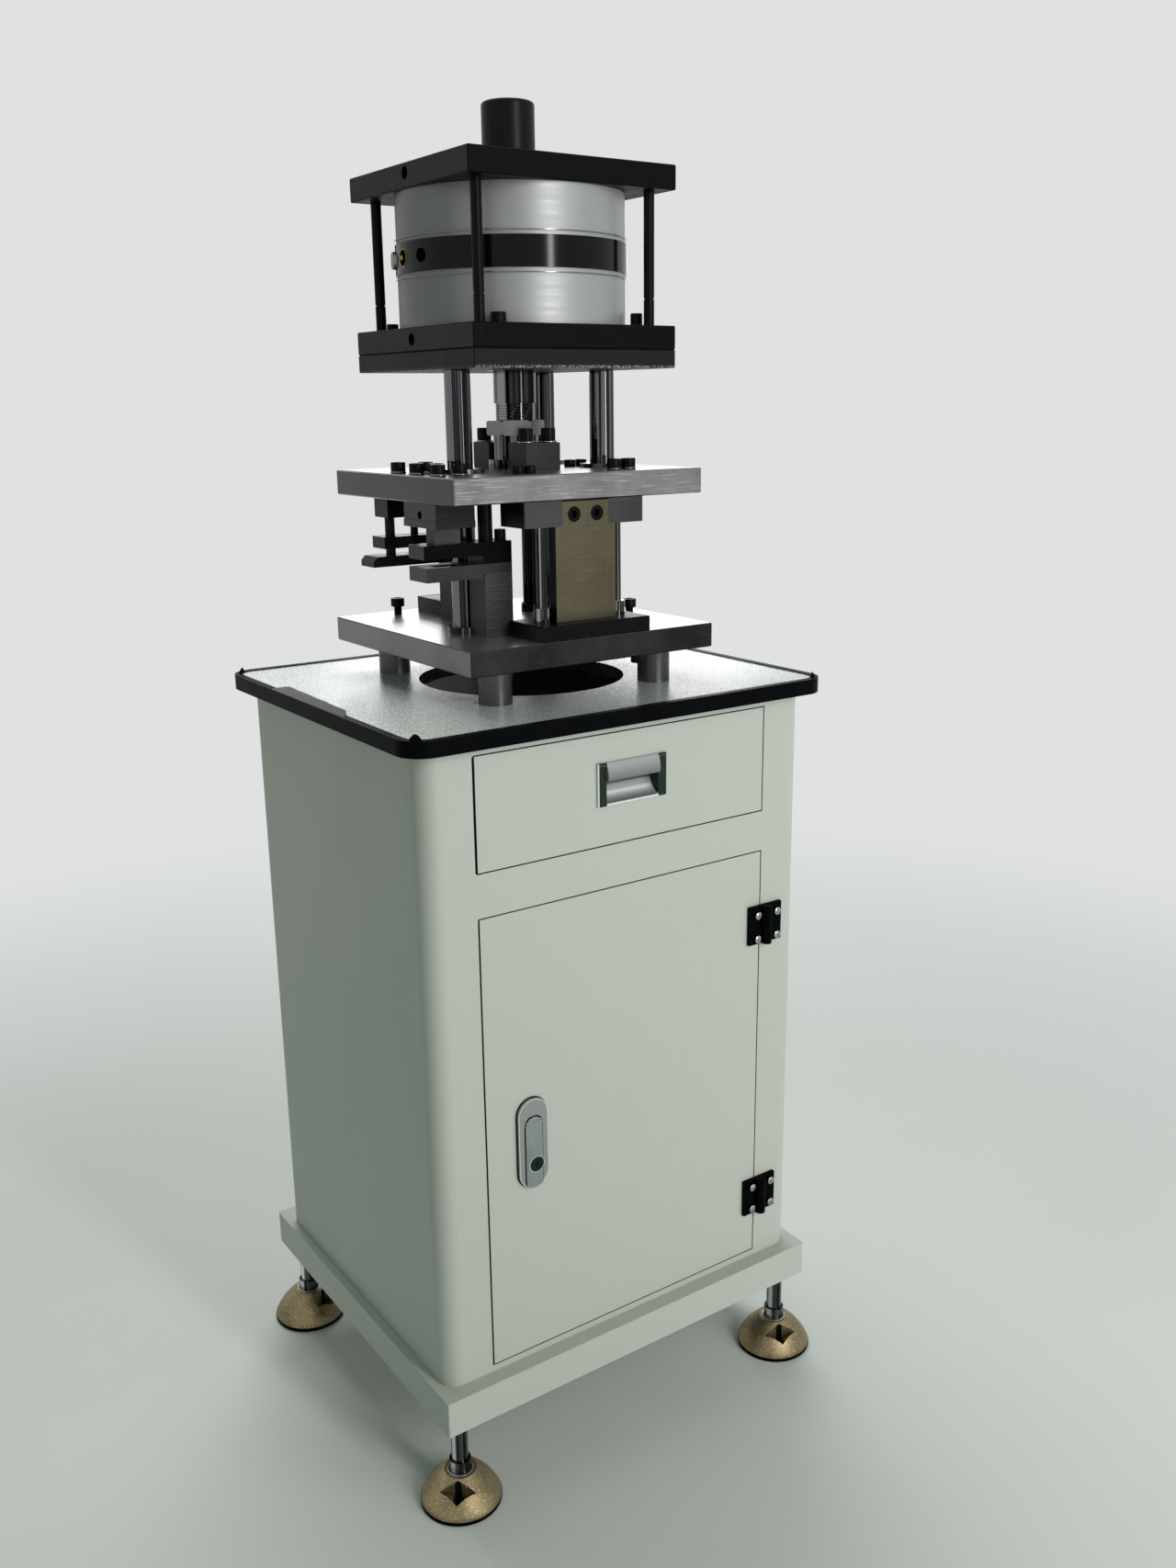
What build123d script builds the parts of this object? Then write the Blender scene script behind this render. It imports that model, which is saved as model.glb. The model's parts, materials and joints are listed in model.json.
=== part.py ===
from build123d import *
import os

# Hydraulic punching machine on a floor cabinet.
# Millimetres. The origin is on the floor, under the middle of the machine.
# The drawer and the door face -Y, +X is to the right of somebody facing them, and +Z is up.

# Clearances
FIT = 0.05            # fixed piece in its hole, all round
RUN = 0.1             # running fit of a shaft or slide, each side
SEAL_GAP = 0.3        # piston to tube, each side
PANEL_GAP = 1.5       # drawer and door to their opening
AIR = 0.3             # pieces that pass each other without touching

# Levelling feet
FOOT_INSET_X = 25.7   # plinth edge to foot centre
FOOT_INSET_Y = 25.6
FOOT_LIFT = 108.5     # floor to the underside of the plinth
PAD_R = 46.5
PAD_EDGE_H = 6.0      # rubber edge under the cone
PAD_EDGE_R = 1.5      # bevel under that edge
PAD_TOP_R = 18.5
PAD_H = 40.0
PAD_SOCKET_R = 14.0
PAD_SOCKET_DEPTH = 12.0
PAD_BULGE = 2.0       # how far the cone's flank bows outwards
POCKET_R = 15.0
POCKET_OUT = 32.0     # pad centre to pocket centre
POCKET_FLOOR = 14.0
ANCHOR_R = 5.0
STUD_R = 9.8
STUD_COLLAR_R = 12.4
STUD_COLLAR_H = 26.0
STUD_HEADROOM = 3.0   # stud top to the underside of the plinth's top sheet
GUSSET_SIZE = 46.0
GUSSET_T = 8.0
GUSSET_BEVEL = 5.6

# Plinth
PLINTH_STEP_X = 10.0  # how far the plinth stands out from the cabinet
PLINTH_STEP_Y = 19.6
PLINTH_H = 43.3
PLINTH_SHEET = 3.0
PLINTH_EDGE_R = 2.0

# Cabinet
CABINET_L = 510.0
CABINET_W = 432.0
CABINET_H = 727.2
CABINET_CORNER_R = 22.0
SHEET = 2.0
STILE_W = 60.5        # cabinet side to the openings
DOOR_LIFT = 7.5       # plinth to the door opening
RAIL_H = 48.2         # between the door and drawer openings
DRAWER_OPEN_H = 126.7
DRAWER_DROP = 4.5     # cabinet top to the drawer opening
LIP_DEPTH = 14.0      # folded lip round each opening
TOP_FLANGE = 26.0
BACK_WINDOW_MARGIN = 35.0
BACK_PANEL_LAP = 10.0

# Worktop
OVERHANG_X = 20.5     # how far the board stands out from the cabinet
OVERHANG_Y = 21.0
WORKTOP_CORNER_R = 30.0
BOARD_T = 15.0
GASKET_H = 6.8        # dark recess under the board
GASKET_INSET = 5.0
GASKET_WIDTH = 22.0
TRIM_T = 2.0
TRIM_LIP_T = 1.2
TRIM_LIP_W = 7.0
SCRAP_HOLE_R = 122.0

# Press frame
SPACER_R = 18.7
SPACER_IN_X = 53.4    # plate side to spacer centre
SPACER_IN_Y = 42.6
SPACER_H = 39.3
LOWER_SIZE = 322.0
LOWER_T = 27.6
PLATE_CHAMFER = 1.2
DAYLIGHT = 146.6      # lower plate to middle plate, press up
MIDDLE_SETBACK = 22.1 # middle plate behind the lower plate's edge, front and back
MIDDLE_T = 27.9
HEADROOM = 108.1      # middle plate to mount plate, press up
STROKE = 12.0
COLUMN_R = 14.2
COLUMN_FOOT_R = 20.0
COLUMN_FOOT_H = 7.0
COLUMN_X = 95.0
COLUMN_FRONT_Y = -36.5
COLUMN_BACK_Y = 88.0
BUSH_R = 20.0
BUSH_FLANGE_R = 26.0
BUSH_FLANGE_T = 4.5

# Cylinder
CYL_SIZE_X = 257.2
CYL_SIZE_Y = 262.8
MOUNT_T = 19.4
BASE_T = 25.2
LOWER_TUBE_H = 55.2
RING_H = 31.8
UPPER_TUBE_H = 51.3
HEAD_T = 25.4
TUBE_R = 125.9
TUBE_WALL = 8.0
RING_R = 128.0
RING_SPIGOT_H = 5.0
CAP_R = 29.0
CAP_H = 69.4
CAP_EDGE_R = 4.0
CAP_WALL = 5.0
TIE_R = 5.8
TIE_IN_X = 20.6       # plate side to tie-rod axis
TIE_IN_Y = 21.6
TIE_THREAD_DEPTH = 18.0
TIE_GROOVE_W = 1.7
TIE_GROOVE_DEPTH = 0.8
PORT_R = 6.5
PORT_DEPTH = 14.0
PORT_EDGE = 3.6       # head plate's top to its port

# Press rod and its coupling
ROD_R = 24.0
ROD_THREAD_R = 22.0
ROD_SPIGOT_R = 14.0
ROD_UPPER_R = 18.0
ROD_SHOULDER = 35.3   # mount plate down to the end of the smooth rod
ROD_THREAD_H = 35.3   # visible thread and the nut on it
ROD_SPIGOT_H = 22.0
ROD_TOP_GAP = 22.0    # rod end to the cap's roof, press up
GLAND_R = 32.0
GLAND_STEP = 6.0
PISTON_T = 24.0
PISTON_TOP_GAP = 5.0  # piston to the end above it, press up
NUT_CORNER_R = 33.0
NUT_H = 16.6
NUT_BEVEL = 1.8
NUT_TURN = 30.0
ADAPTOR_R = 25.4
ADAPTOR_FLANGE_R = 32.0
ADAPTOR_FLANGE_H = 11.0
CLAMP_L = 47.2
CLAMP_Y_IN = 21.0
CLAMP_Y_OUT = 57.0
CLAMP_H = 29.8
CLAMP_SCREW_X = 15.0
CLAMP_SCREW_Y = 45.0

# Socket-head cap screws
SCREW_HEAD_R = 8.2
SCREW_HEAD_H = 10.0
SCREW_SHANK_R = 5.0
SCREW_SHANK_L = 14.0
SCREW_HEX_R = 4.6
SCREW_HEX_DEPTH = 5.0
CLAMP_HEAD_H = 14.0
WASHER_R = 9.8
WASHER_T = 2.0
PLATE_WASHER_R = 8.8
SMALL_HEAD_R = 6.7
SMALL_HEAD_H = 8.0
SMALL_SHANK_R = 4.0
SMALL_HEX_R = 3.4
SMALL_HEX_DEPTH = 4.0
BASE_HEAD_H = 11.0
BASE_SCREWS = ((-84.6, -108.0), (84.6, 108.0))
BASE_SMALL_SCREWS = ((-102.0, 94.0), (104.0, -92.0))
BASE_SMALL_HEADS = (8.0, 14.5)
STOP_SCREWS = ((-90.4, 137.0), (125.0, -48.0))
STOP_SCREW_STAND = 9.3
UNDER_SCREW = (57.0, -154.0)
PLATE_SCREWS = ((-145.0, 13.0), (-145.0, -30.0), (-145.0, -77.0), (-120.0, -4.0), (-131.0, -48.0),
                (-120.0, -80.0), (66.0, -100.0), (86.0, -100.0))
SMALL_SCREWS = ((-60.0, -100.0), (-45.3, -100.0), (74.0, 0.0), (90.0, 0.0))
JAW_SCREW = (-73.0, -80.0)
JAW_HEAD_H = 12.0      # with its washer

# Right tool: die base, shoe and punch plate
DIE_L = 142.0
DIE_STAND = 21.1      # die front ahead of the punch's face
DIE_DEPTH = 68.0
DIE_T = 16.8
DIE_CHAMFER = 1.0
PIN_R = 5.25
PIN_X = 49.5
PIN_IN = 12.9         # punch face back to the pins' axes
PIN_ROUND = 1.3
PIN_COLLAR_R = 9.5
PIN_COLLAR_H = 15.5
PIN_ENGAGE = 13.0     # how far a pin reaches into the shoe, press up
SHOE_L = 155.4
SHOE_DEPTH = 50.0
SHOE_H = 27.3
PUNCH_NECK_L = 60.0
PUNCH_L = 78.6
PUNCH_T = 13.0
PUNCH_END_STAND = 14.3   # punch edge above the lower plate, press up
PUNCH_SCREW_X = 15.0
PUNCH_SCREW_DROP = 15.0
PUNCH_NECK_DROP = 1.2  # gap between the neck and the middle plate
SLOT_GAP = 0.5

# Left tool: jaws and their punch
JAW_X0 = -170.7
UPPER_JAW_X0 = -173.2
JAW_X1 = -65.4
JAW_Y0 = -91.0
JAW_Y1 = -57.0
LOWER_JAW_Y1 = -52.0
JAW_Z_ABOVE_PLATE = 65.1
JAW_LOWER_T = 15.2
JAW_STEP = 4.6        # the lower jaw is thinner where it sits on its riser
JAW_GAP = 9.0
JAW_UPPER_T = 14.4
JAW_SPACER_L = 36.0
RISER_X0 = -100.0
HOLDER_X0 = -157.5
HOLDER_X1 = -110.2
HOLDER_Y1 = -20.5
HOLDER_H = 26.3
HOLDER_LIP_H = 7.5
HOLDER_LIP_OUT = 1.0
HOLDER_DRILL_R = 4.4
JAW_PUNCH_X0 = -155.5
JAW_PUNCH_X1 = -124.6
JAW_PUNCH_Y0 = -84.0
JAW_PUNCH_Y1 = -65.0
JAW_PUNCH_ENTER = 13.4   # punch end inside the upper jaw, press up
POST_X = -88.0
POST_Y = -74.0
POST_R = 8.0
POST_SPARE = 1.0

# Stop post between the plates
LIMIT_X = 51.0
LIMIT_Y = 56.0
LIMIT_R = 9.5
LIMIT_FOOT_R = 12.0
LIMIT_FOOT_H = 12.0
LIMIT_FOOT_ROUND = 5.0
LIMIT_GAP = 1.0        # post to the middle plate, press down

# Rear-left tool: hole punch over a long die bar
REAR_Y = 50.0
REAR_PUNCH_X = -140.0
REAR_PUNCH_R = 5.6
REAR_HOLE_R = 6.0     # slug hole in the die bar
REAR_HOLDER_X0 = -150.0
REAR_HOLDER_X1 = -127.0
REAR_HOLDER_Y0 = 34.0
REAR_HOLDER_Y1 = 66.0
REAR_HOLDER_H = 22.0
REAR_PIN_X = -109.0
REAR_PIN_R = 4.4
REAR_PIN_ENTER = 8.0  # pin end inside the guide bar, press up
REAR_RISER_X0 = -70.0
REAR_RISER_X1 = -40.0
REAR_BASE_X0 = -60.0
REAR_BASE_X1 = -24.0
REAR_BASE_DEPTH = 76.0
REAR_BASE_H = 18.6
REAR_BAR_DEPTH = 32.0
DIE_BAR_X0 = -170.0
DIE_BAR_Z_ABOVE_PLATE = 70.6
DIE_BAR_T = 11.5
DIE_BAR_BEVEL = 5.0
GUIDE_X0 = -155.0
GUIDE_DEPTH = 30.0
GUIDE_Z_ABOVE_PLATE = 90.3
GUIDE_T = 13.0

# Drawer
DRAWER_FRONT_T = 16.0
DRAWER_BOX_IN = 16.5  # opening side to the box
DRAWER_BOX_DEPTH = 350.0
DRAWER_BOX_LIFT = 8.2 # opening's lower edge to the box
DRAWER_BOX_H = 88.0
SLIDE_LIFT = 44.0     # box floor to the slides' middle
SLIDE_H = 32.0
SLIDE_LIP = 9.0
SLIDE_BAR_T = 12.0
PULL_X = 3.0          # middle of the pull
PULL_L = 92.0
PULL_LIFT = 46.2      # opening's lower edge to the pull
PULL_H = 48.0
PULL_RIM = 3.0        # rim in front of the drawer
PULL_LIP_OUT = 6.5    # rolled lip in front of the drawer
PULL_LIP_H = 20.0
PULL_LIP_T = 2.2
PULL_FLANGE = 3.0     # rim that covers the cut-out's edge
PULL_SINK = 13.0      # depth behind the drawer's face
PULL_WALL = 1.5
PULL_CAP_L = 11.0

# Door, hinges and lock
DOOR_DEPTH = 16.0
HINGE_SIZE = 50.0
HINGE_H = 48.0
HINGE_OUT = 5.0       # opening side to the hinge axis
HINGE_DROP = 92.6     # opening's top to the upper hinge
HINGE_LIFT = 80.7     # opening's bottom to the lower hinge
HINGE_LEAF_T = 4.5
KNUCKLE_R = 6.5
HINGE_PIN_R = 2.5
HINGE_PITCH = 30.0
HINGE_HOLE_R = 2.6
LOCK_IN = 58.1        # opening side to the lock's middle
LOCK_LIFT = 264.7     # opening's bottom to the lock's middle
LOCK_L = 38.0
LOCK_H = 108.0
LOCK_PLATE_T = 5.0
LOCK_BODY_T = 10.0
LOCK_BODY_L = 30.0
LOCK_BODY_H = 96.0
LEVER_L = 21.6
LEVER_TOP_LIFT = 32.7 # lock's middle to the lever's top
LEVER_T = 4.5
LEVER_PIVOT_DROP = 6.0
LEVER_PIN_R = 1.2
LEVER_PIN_IN = 1.8    # pin axis to the lever's back face
LEVER_PIN_SEAT = 2.5  # pin length held in the plate, each end
LEVER_SUNK = 3.4
LEVER_GAP = 0.4
LEVER_TOP_GAP = 0.9   # above the lever, for its swing
BARREL_RIGHT = 2.9    # lock's middle to the barrel
BARREL_DROP = 26.2
BARREL_R = 8.5
BARREL_HOLE_GAP = 0.9
KEYWAY_W = 1.6
CAM_L = 74.0
CAM_W = 18.0
CAM_T = 3.0
CAM_BEHIND = 3.0      # door tray to the cam

# Sizes that follow from others
PLINTH_L = CABINET_L + 2 * PLINTH_STEP_X
PLINTH_W = CABINET_W + 2 * PLINTH_STEP_Y
WORKTOP_L = CABINET_L + 2 * OVERHANG_X
WORKTOP_W = CABINET_W + 2 * OVERHANG_Y
OPENING_W = CABINET_L - 2 * STILE_W
DRAWER_BOX_L = OPENING_W - 2 * DRAWER_BOX_IN
MIDDLE_L = LOWER_SIZE
MIDDLE_W = LOWER_SIZE - 2 * MIDDLE_SETBACK
FOOT_X = PLINTH_L / 2 - FOOT_INSET_X
FOOT_Y = PLINTH_W / 2 - FOOT_INSET_Y
SPACER_X = LOWER_SIZE / 2 - SPACER_IN_X
SPACER_Y = LOWER_SIZE / 2 - SPACER_IN_Y
TIE_X = CYL_SIZE_X / 2 - TIE_IN_X
TIE_Y = CYL_SIZE_Y / 2 - TIE_IN_Y

# Heights, from the floor up
PLINTH_Z1 = FOOT_LIFT + PLINTH_H
CABINET_Z1 = PLINTH_Z1 + CABINET_H
BOARD_Z0 = CABINET_Z1 + GASKET_H
BOARD_Z1 = BOARD_Z0 + BOARD_T
LOWER_Z0 = BOARD_Z1 + SPACER_H
LOWER_Z1 = LOWER_Z0 + LOWER_T
MIDDLE_Z0 = LOWER_Z1 + DAYLIGHT
MIDDLE_Z1 = MIDDLE_Z0 + MIDDLE_T
MOUNT_Z0 = MIDDLE_Z1 + HEADROOM
MOUNT_Z1 = MOUNT_Z0 + MOUNT_T
BASE_Z1 = MOUNT_Z1 + BASE_T
RING_Z0 = BASE_Z1 + LOWER_TUBE_H
RING_Z1 = RING_Z0 + RING_H
HEAD_Z0 = RING_Z1 + UPPER_TUBE_H
HEAD_Z1 = HEAD_Z0 + HEAD_T
CAP_Z1 = HEAD_Z1 + CAP_H
DOOR_OPEN_Z0 = PLINTH_Z1 + DOOR_LIFT
DRAWER_OPEN_Z1 = CABINET_Z1 - DRAWER_DROP
DRAWER_OPEN_Z0 = DRAWER_OPEN_Z1 - DRAWER_OPEN_H
DOOR_OPEN_Z1 = DRAWER_OPEN_Z0 - RAIL_H
DRAWER_BOX_Z0 = DRAWER_OPEN_Z0 + DRAWER_BOX_LIFT
SLIDE_Z = DRAWER_BOX_Z0 + SLIDE_LIFT
PULL_Z0 = DRAWER_OPEN_Z0 + PULL_LIFT
PULL_Z1 = PULL_Z0 + PULL_H
HINGE_Z = (DOOR_OPEN_Z1 - HINGE_DROP, DOOR_OPEN_Z0 + HINGE_LIFT)
LOCK_Z = DOOR_OPEN_Z0 + LOCK_LIFT
LEVER_TOP_Z = LOCK_Z + LEVER_TOP_LIFT
BARREL_Z = LOCK_Z - BARREL_DROP

# Places that several pieces share
FACE_Y = -CABINET_W / 2
BACK_Y = CABINET_W / 2
DOOR_BACK_Y = FACE_Y + DOOR_DEPTH
HINGE_X = OPENING_W / 2 + HINGE_OUT
HINGE_Y = FACE_Y - AIR - KNUCKLE_R
LOCK_X = LOCK_IN - OPENING_W / 2
BARREL_X = LOCK_X + BARREL_RIGHT
PULL_X0 = PULL_X - PULL_L / 2
PULL_X1 = PULL_X + PULL_L / 2
COLUMNS = ((-COLUMN_X, COLUMN_FRONT_Y), (COLUMN_X, COLUMN_FRONT_Y), (COLUMN_X, COLUMN_BACK_Y))
TIES = [(x, y) for x in (-TIE_X, TIE_X) for y in (-TIE_Y, TIE_Y)]
SPACERS = [(x, y) for x in (-SPACER_X, SPACER_X) for y in (-SPACER_Y, SPACER_Y)]
CLAMP_SCREWS = [(x, y) for x in (-CLAMP_SCREW_X, CLAMP_SCREW_X) for y in (-CLAMP_SCREW_Y, CLAMP_SCREW_Y)]
PAD_TURNS = {"front_left": -31.0, "front_right": -22.0, "back_left": 0.0, "back_right": 0.0}
FEET = {
    "front_left": (-FOOT_X, -FOOT_Y),
    "front_right": (FOOT_X, -FOOT_Y),
    "back_left": (-FOOT_X, FOOT_Y),
    "back_right": (FOOT_X, FOOT_Y),
}
TOOL_FRONT_Y = -MIDDLE_W / 2
PUNCH_BACK_Y = TOOL_FRONT_Y + PUNCH_T
PIN_Y = TOOL_FRONT_Y + PIN_IN
DIE_FRONT_Y = TOOL_FRONT_Y - DIE_STAND
DIE_BACK_Y = DIE_FRONT_Y + DIE_DEPTH
SHOE_Z0 = MIDDLE_Z0 - SHOE_H
DIE_Z1 = LOWER_Z1 + DIE_T
JAW_Z0 = LOWER_Z1 + JAW_Z_ABOVE_PLATE
JAW_Z1 = JAW_Z0 + JAW_LOWER_T
UPPER_JAW_Z0 = JAW_Z1 + JAW_GAP
UPPER_JAW_Z1 = UPPER_JAW_Z0 + JAW_UPPER_T
POST_END_Z = UPPER_JAW_Z0 - JAW_GAP / 2
DIE_BAR_Z0 = LOWER_Z1 + DIE_BAR_Z_ABOVE_PLATE
DIE_BAR_Z1 = DIE_BAR_Z0 + DIE_BAR_T
GUIDE_Z0 = LOWER_Z1 + GUIDE_Z_ABOVE_PLATE
ROD_SHOULDER_Z = MOUNT_Z0 - ROD_SHOULDER
ROD_THREAD_Z = ROD_SHOULDER_Z - ROD_THREAD_H
TUBE_BORE_R = TUBE_R - TUBE_WALL
PISTON_R = TUBE_BORE_R - SEAL_GAP
DRAWER_BOX_Y0 = FACE_Y + DRAWER_FRONT_T
DRAWER_BOX_Y1 = DRAWER_BOX_Y0 + DRAWER_BOX_DEPTH
DRAWER_BOX_X = DRAWER_BOX_L / 2
LEVER_PIVOT_Z = LEVER_TOP_Z - LEVER_PIVOT_DROP
LEVER_BACK_Y = FACE_Y - LOCK_PLATE_T + LEVER_SUNK
LEVER_PIVOT_Y = LEVER_BACK_Y - LEVER_PIN_IN


def block(x0, x1, y0, y1, z0, z1):
    """Box between six planes."""
    middle = Pos((x0 + x1) / 2, (y0 + y1) / 2, (z0 + z1) / 2)
    return middle * Box(x1 - x0, y1 - y0, z1 - z0)


def post(x, y, z0, z1, radius):
    """Upright cylinder."""
    return Pos(x, y, (z0 + z1) / 2) * Cylinder(radius, z1 - z0)


def bar_x(y, z, x0, x1, radius):
    """Cylinder along X."""
    return Pos((x0 + x1) / 2, y, z) * Rot(0, 90, 0) * Cylinder(radius, x1 - x0)


def bar_y(x, z, y0, y1, radius):
    """Cylinder along Y."""
    return Pos(x, (y0 + y1) / 2, z) * Rot(90, 0, 0) * Cylinder(radius, y1 - y0)


def rounded_slab(length, width, radius, z0, z1):
    """Upright slab, centred in plan, with rounded corners."""
    outline = RectangleRounded(length, width, radius)
    return Pos(0, 0, z0) * extrude(outline, z1 - z0)


def cap_screw(x, y, seat, head_height=SCREW_HEAD_H, shank_length=SCREW_SHANK_L):
    """Socket-head cap screw, head up, with its head's underside at the seat height."""
    head = post(x, y, seat, seat + head_height, SCREW_HEAD_R)
    shank = post(x, y, seat - shank_length, seat, SCREW_SHANK_R)
    socket_floor = seat + head_height - SCREW_HEX_DEPTH
    socket = Pos(x, y, socket_floor) * extrude(RegularPolygon(SCREW_HEX_R, 6), SCREW_HEX_DEPTH)
    return head + shank - socket


def small_screw(x, y, seat, head_height=SMALL_HEAD_H):
    """Smaller cap screw, head up."""
    head = post(x, y, seat, seat + head_height, SMALL_HEAD_R)
    shank = post(x, y, seat - SCREW_SHANK_L, seat, SMALL_SHANK_R)
    socket_floor = seat + head_height - SMALL_HEX_DEPTH
    return head + shank - Pos(x, y, socket_floor) * extrude(RegularPolygon(SMALL_HEX_R, 6), SMALL_HEX_DEPTH)


def shank_holes(places, top, radius=SCREW_SHANK_R):
    """Holes that take the shanks of the screws at these places."""
    holes = [post(x, y, top - SCREW_SHANK_L, top, radius + FIT) for x, y in places]
    return sum_of(holes)


def on_washer(x, y, seat, head_height=SCREW_HEAD_H, radius=PLATE_WASHER_R):
    """Cap screw with a washer under its head."""
    washer = post(x, y, seat, seat + WASHER_T, radius)
    return washer + cap_screw(x, y, seat + WASHER_T, head_height, SCREW_SHANK_L + WASHER_T)


def sum_of(shapes):
    """One shape from several."""
    total = shapes[0]
    for shape in shapes[1:]:
        total = total + shape
    return total


def group(shapes):
    """Several separate solids kept in one node."""
    return Compound([solid for shape in shapes for solid in shape.solids()])


# Feet and plinth

def foot_pad(x, y, turn):
    """Cast foot: bowed cone on a rubber edge, stud socket, anchor pocket turned from the front."""
    flank_middle = ((PAD_R + PAD_TOP_R) / 2 + PAD_BULGE, (PAD_EDGE_H + PAD_H) / 2 + PAD_BULGE)
    profile = Polyline((PAD_TOP_R, PAD_H), (0, PAD_H), (0, 0), (PAD_R - PAD_EDGE_R, 0), (PAD_R, PAD_EDGE_R),
                       (PAD_R, PAD_EDGE_H))
    flank = ThreePointArc((PAD_R, PAD_EDGE_H), flank_middle, (PAD_TOP_R, PAD_H))
    section = Plane.XZ * make_face([profile, flank])
    pad = revolve(section, Axis.Z)
    pad -= post(0, 0, PAD_H - PAD_SOCKET_DEPTH, PAD_H, PAD_SOCKET_R)
    pad -= post(0, -POCKET_OUT, POCKET_FLOOR, PAD_H, POCKET_R)
    pad -= post(0, -POCKET_OUT, 0, POCKET_FLOOR, ANCHOR_R)
    return Pos(x, y, 0) * Rot(0, 0, turn) * pad


def foot_stud(x, y):
    """Levelling stud with the collar that sits in the pad's socket."""
    socket_floor = PAD_H - PAD_SOCKET_DEPTH
    collar = post(x, y, socket_floor, socket_floor + STUD_COLLAR_H, STUD_COLLAR_R)
    top = PLINTH_Z1 - PLINTH_SHEET - STUD_HEADROOM
    return collar + post(x, y, socket_floor, top, STUD_R)


def corner_gusset(x, y):
    """Bevelled plate under a corner of the plinth, tapped for a levelling stud."""
    plate = block(x - GUSSET_SIZE / 2, x + GUSSET_SIZE / 2, y - GUSSET_SIZE / 2, y + GUSSET_SIZE / 2,
                  FOOT_LIFT - GUSSET_T, FOOT_LIFT)
    plate = chamfer(plate.faces().sort_by(Axis.Z)[0].edges(), GUSSET_BEVEL)
    boss = block(x - GUSSET_SIZE / 2, x + GUSSET_SIZE / 2, y - GUSSET_SIZE / 2, y + GUSSET_SIZE / 2,
                 FOOT_LIFT, FOOT_LIFT + PLINTH_SHEET)
    return plate + boss - post(x, y, FOOT_LIFT - GUSSET_T, FOOT_LIFT + PLINTH_SHEET, STUD_R + RUN)


def plinth():
    """Folded steel tray, open underneath, with a tapped gusset in each corner."""
    body = rounded_slab(PLINTH_L, PLINTH_W, PLINTH_EDGE_R, FOOT_LIFT, PLINTH_Z1)
    hollow = block(-PLINTH_L / 2 + PLINTH_SHEET, PLINTH_L / 2 - PLINTH_SHEET,
                   -PLINTH_W / 2 + PLINTH_SHEET, PLINTH_W / 2 - PLINTH_SHEET,
                   FOOT_LIFT, PLINTH_Z1 - PLINTH_SHEET)
    return body - hollow + sum_of([corner_gusset(x, y) for x, y in FEET.values()])


# Cabinet

def opening_lip(z0, z1):
    """Folded lip behind the face, round one opening."""
    half = OPENING_W / 2
    outer = block(-half - SHEET, half + SHEET, FACE_Y + SHEET, FACE_Y + SHEET + LIP_DEPTH, z0 - SHEET, z1 + SHEET)
    return outer - block(-half, half, FACE_Y + SHEET, FACE_Y + SHEET + LIP_DEPTH, z0, z1)


def cabinet_shell():
    """Sheet cabinet with rounded corners, a floor, two front openings and a service window behind."""
    shell = rounded_slab(CABINET_L, CABINET_W, CABINET_CORNER_R, PLINTH_Z1, CABINET_Z1)
    shell -= rounded_slab(CABINET_L - 2 * SHEET, CABINET_W - 2 * SHEET, CABINET_CORNER_R - SHEET,
                          PLINTH_Z1 + SHEET, CABINET_Z1 - SHEET)
    shell -= rounded_slab(CABINET_L - 2 * TOP_FLANGE, CABINET_W - 2 * TOP_FLANGE, CABINET_CORNER_R,
                          CABINET_Z1 - SHEET, CABINET_Z1)
    half = OPENING_W / 2
    openings = ((DOOR_OPEN_Z0, DOOR_OPEN_Z1), (DRAWER_OPEN_Z0, DRAWER_OPEN_Z1))
    for z0, z1 in openings:
        shell -= block(-half, half, FACE_Y, FACE_Y + SHEET, z0, z1)
    window_x = CABINET_L / 2 - BACK_WINDOW_MARGIN
    shell -= block(-window_x, window_x, BACK_Y - SHEET, BACK_Y,
                   PLINTH_Z1 + BACK_WINDOW_MARGIN, CABINET_Z1 - BACK_WINDOW_MARGIN)
    for z0, z1 in openings:
        shell += opening_lip(z0, z1)
    return shell


def back_panel():
    """Flat service panel behind the rear window."""
    half = CABINET_L / 2 - BACK_WINDOW_MARGIN + BACK_PANEL_LAP
    lift = BACK_WINDOW_MARGIN - BACK_PANEL_LAP
    return block(-half, half, BACK_Y - 2 * SHEET, BACK_Y - SHEET, PLINTH_Z1 + lift, CABINET_Z1 - lift)


def top_gasket():
    """Dark spacer frame between the cabinet and the board."""
    length = CABINET_L - 2 * GASKET_INSET
    width = CABINET_W - 2 * GASKET_INSET
    outer = rounded_slab(length, width, CABINET_CORNER_R, CABINET_Z1, BOARD_Z0)
    inner = rounded_slab(length - 2 * GASKET_WIDTH, width - 2 * GASKET_WIDTH, CABINET_CORNER_R / 2,
                         CABINET_Z1, BOARD_Z0)
    return outer - inner


def worktop():
    """Laminated board with the round scrap hole."""
    board = rounded_slab(WORKTOP_L - 2 * TRIM_T, WORKTOP_W - 2 * TRIM_T, WORKTOP_CORNER_R - TRIM_T,
                         BOARD_Z0, BOARD_Z1)
    return board - post(0, 0, BOARD_Z0, BOARD_Z1, SCRAP_HOLE_R)


def edge_trim():
    """U-shaped edging that grips the board's rim."""
    trim = rounded_slab(WORKTOP_L, WORKTOP_W, WORKTOP_CORNER_R, BOARD_Z0 - TRIM_LIP_T, BOARD_Z1 + TRIM_LIP_T)
    lip = TRIM_T + TRIM_LIP_W
    trim -= rounded_slab(WORKTOP_L - 2 * lip, WORKTOP_W - 2 * lip, WORKTOP_CORNER_R - lip,
                         BOARD_Z0 - TRIM_LIP_T, BOARD_Z1 + TRIM_LIP_T)
    return trim - rounded_slab(WORKTOP_L - 2 * TRIM_T, WORKTOP_W - 2 * TRIM_T, WORKTOP_CORNER_R - TRIM_T,
                               BOARD_Z0, BOARD_Z1)


# Press frame

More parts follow.
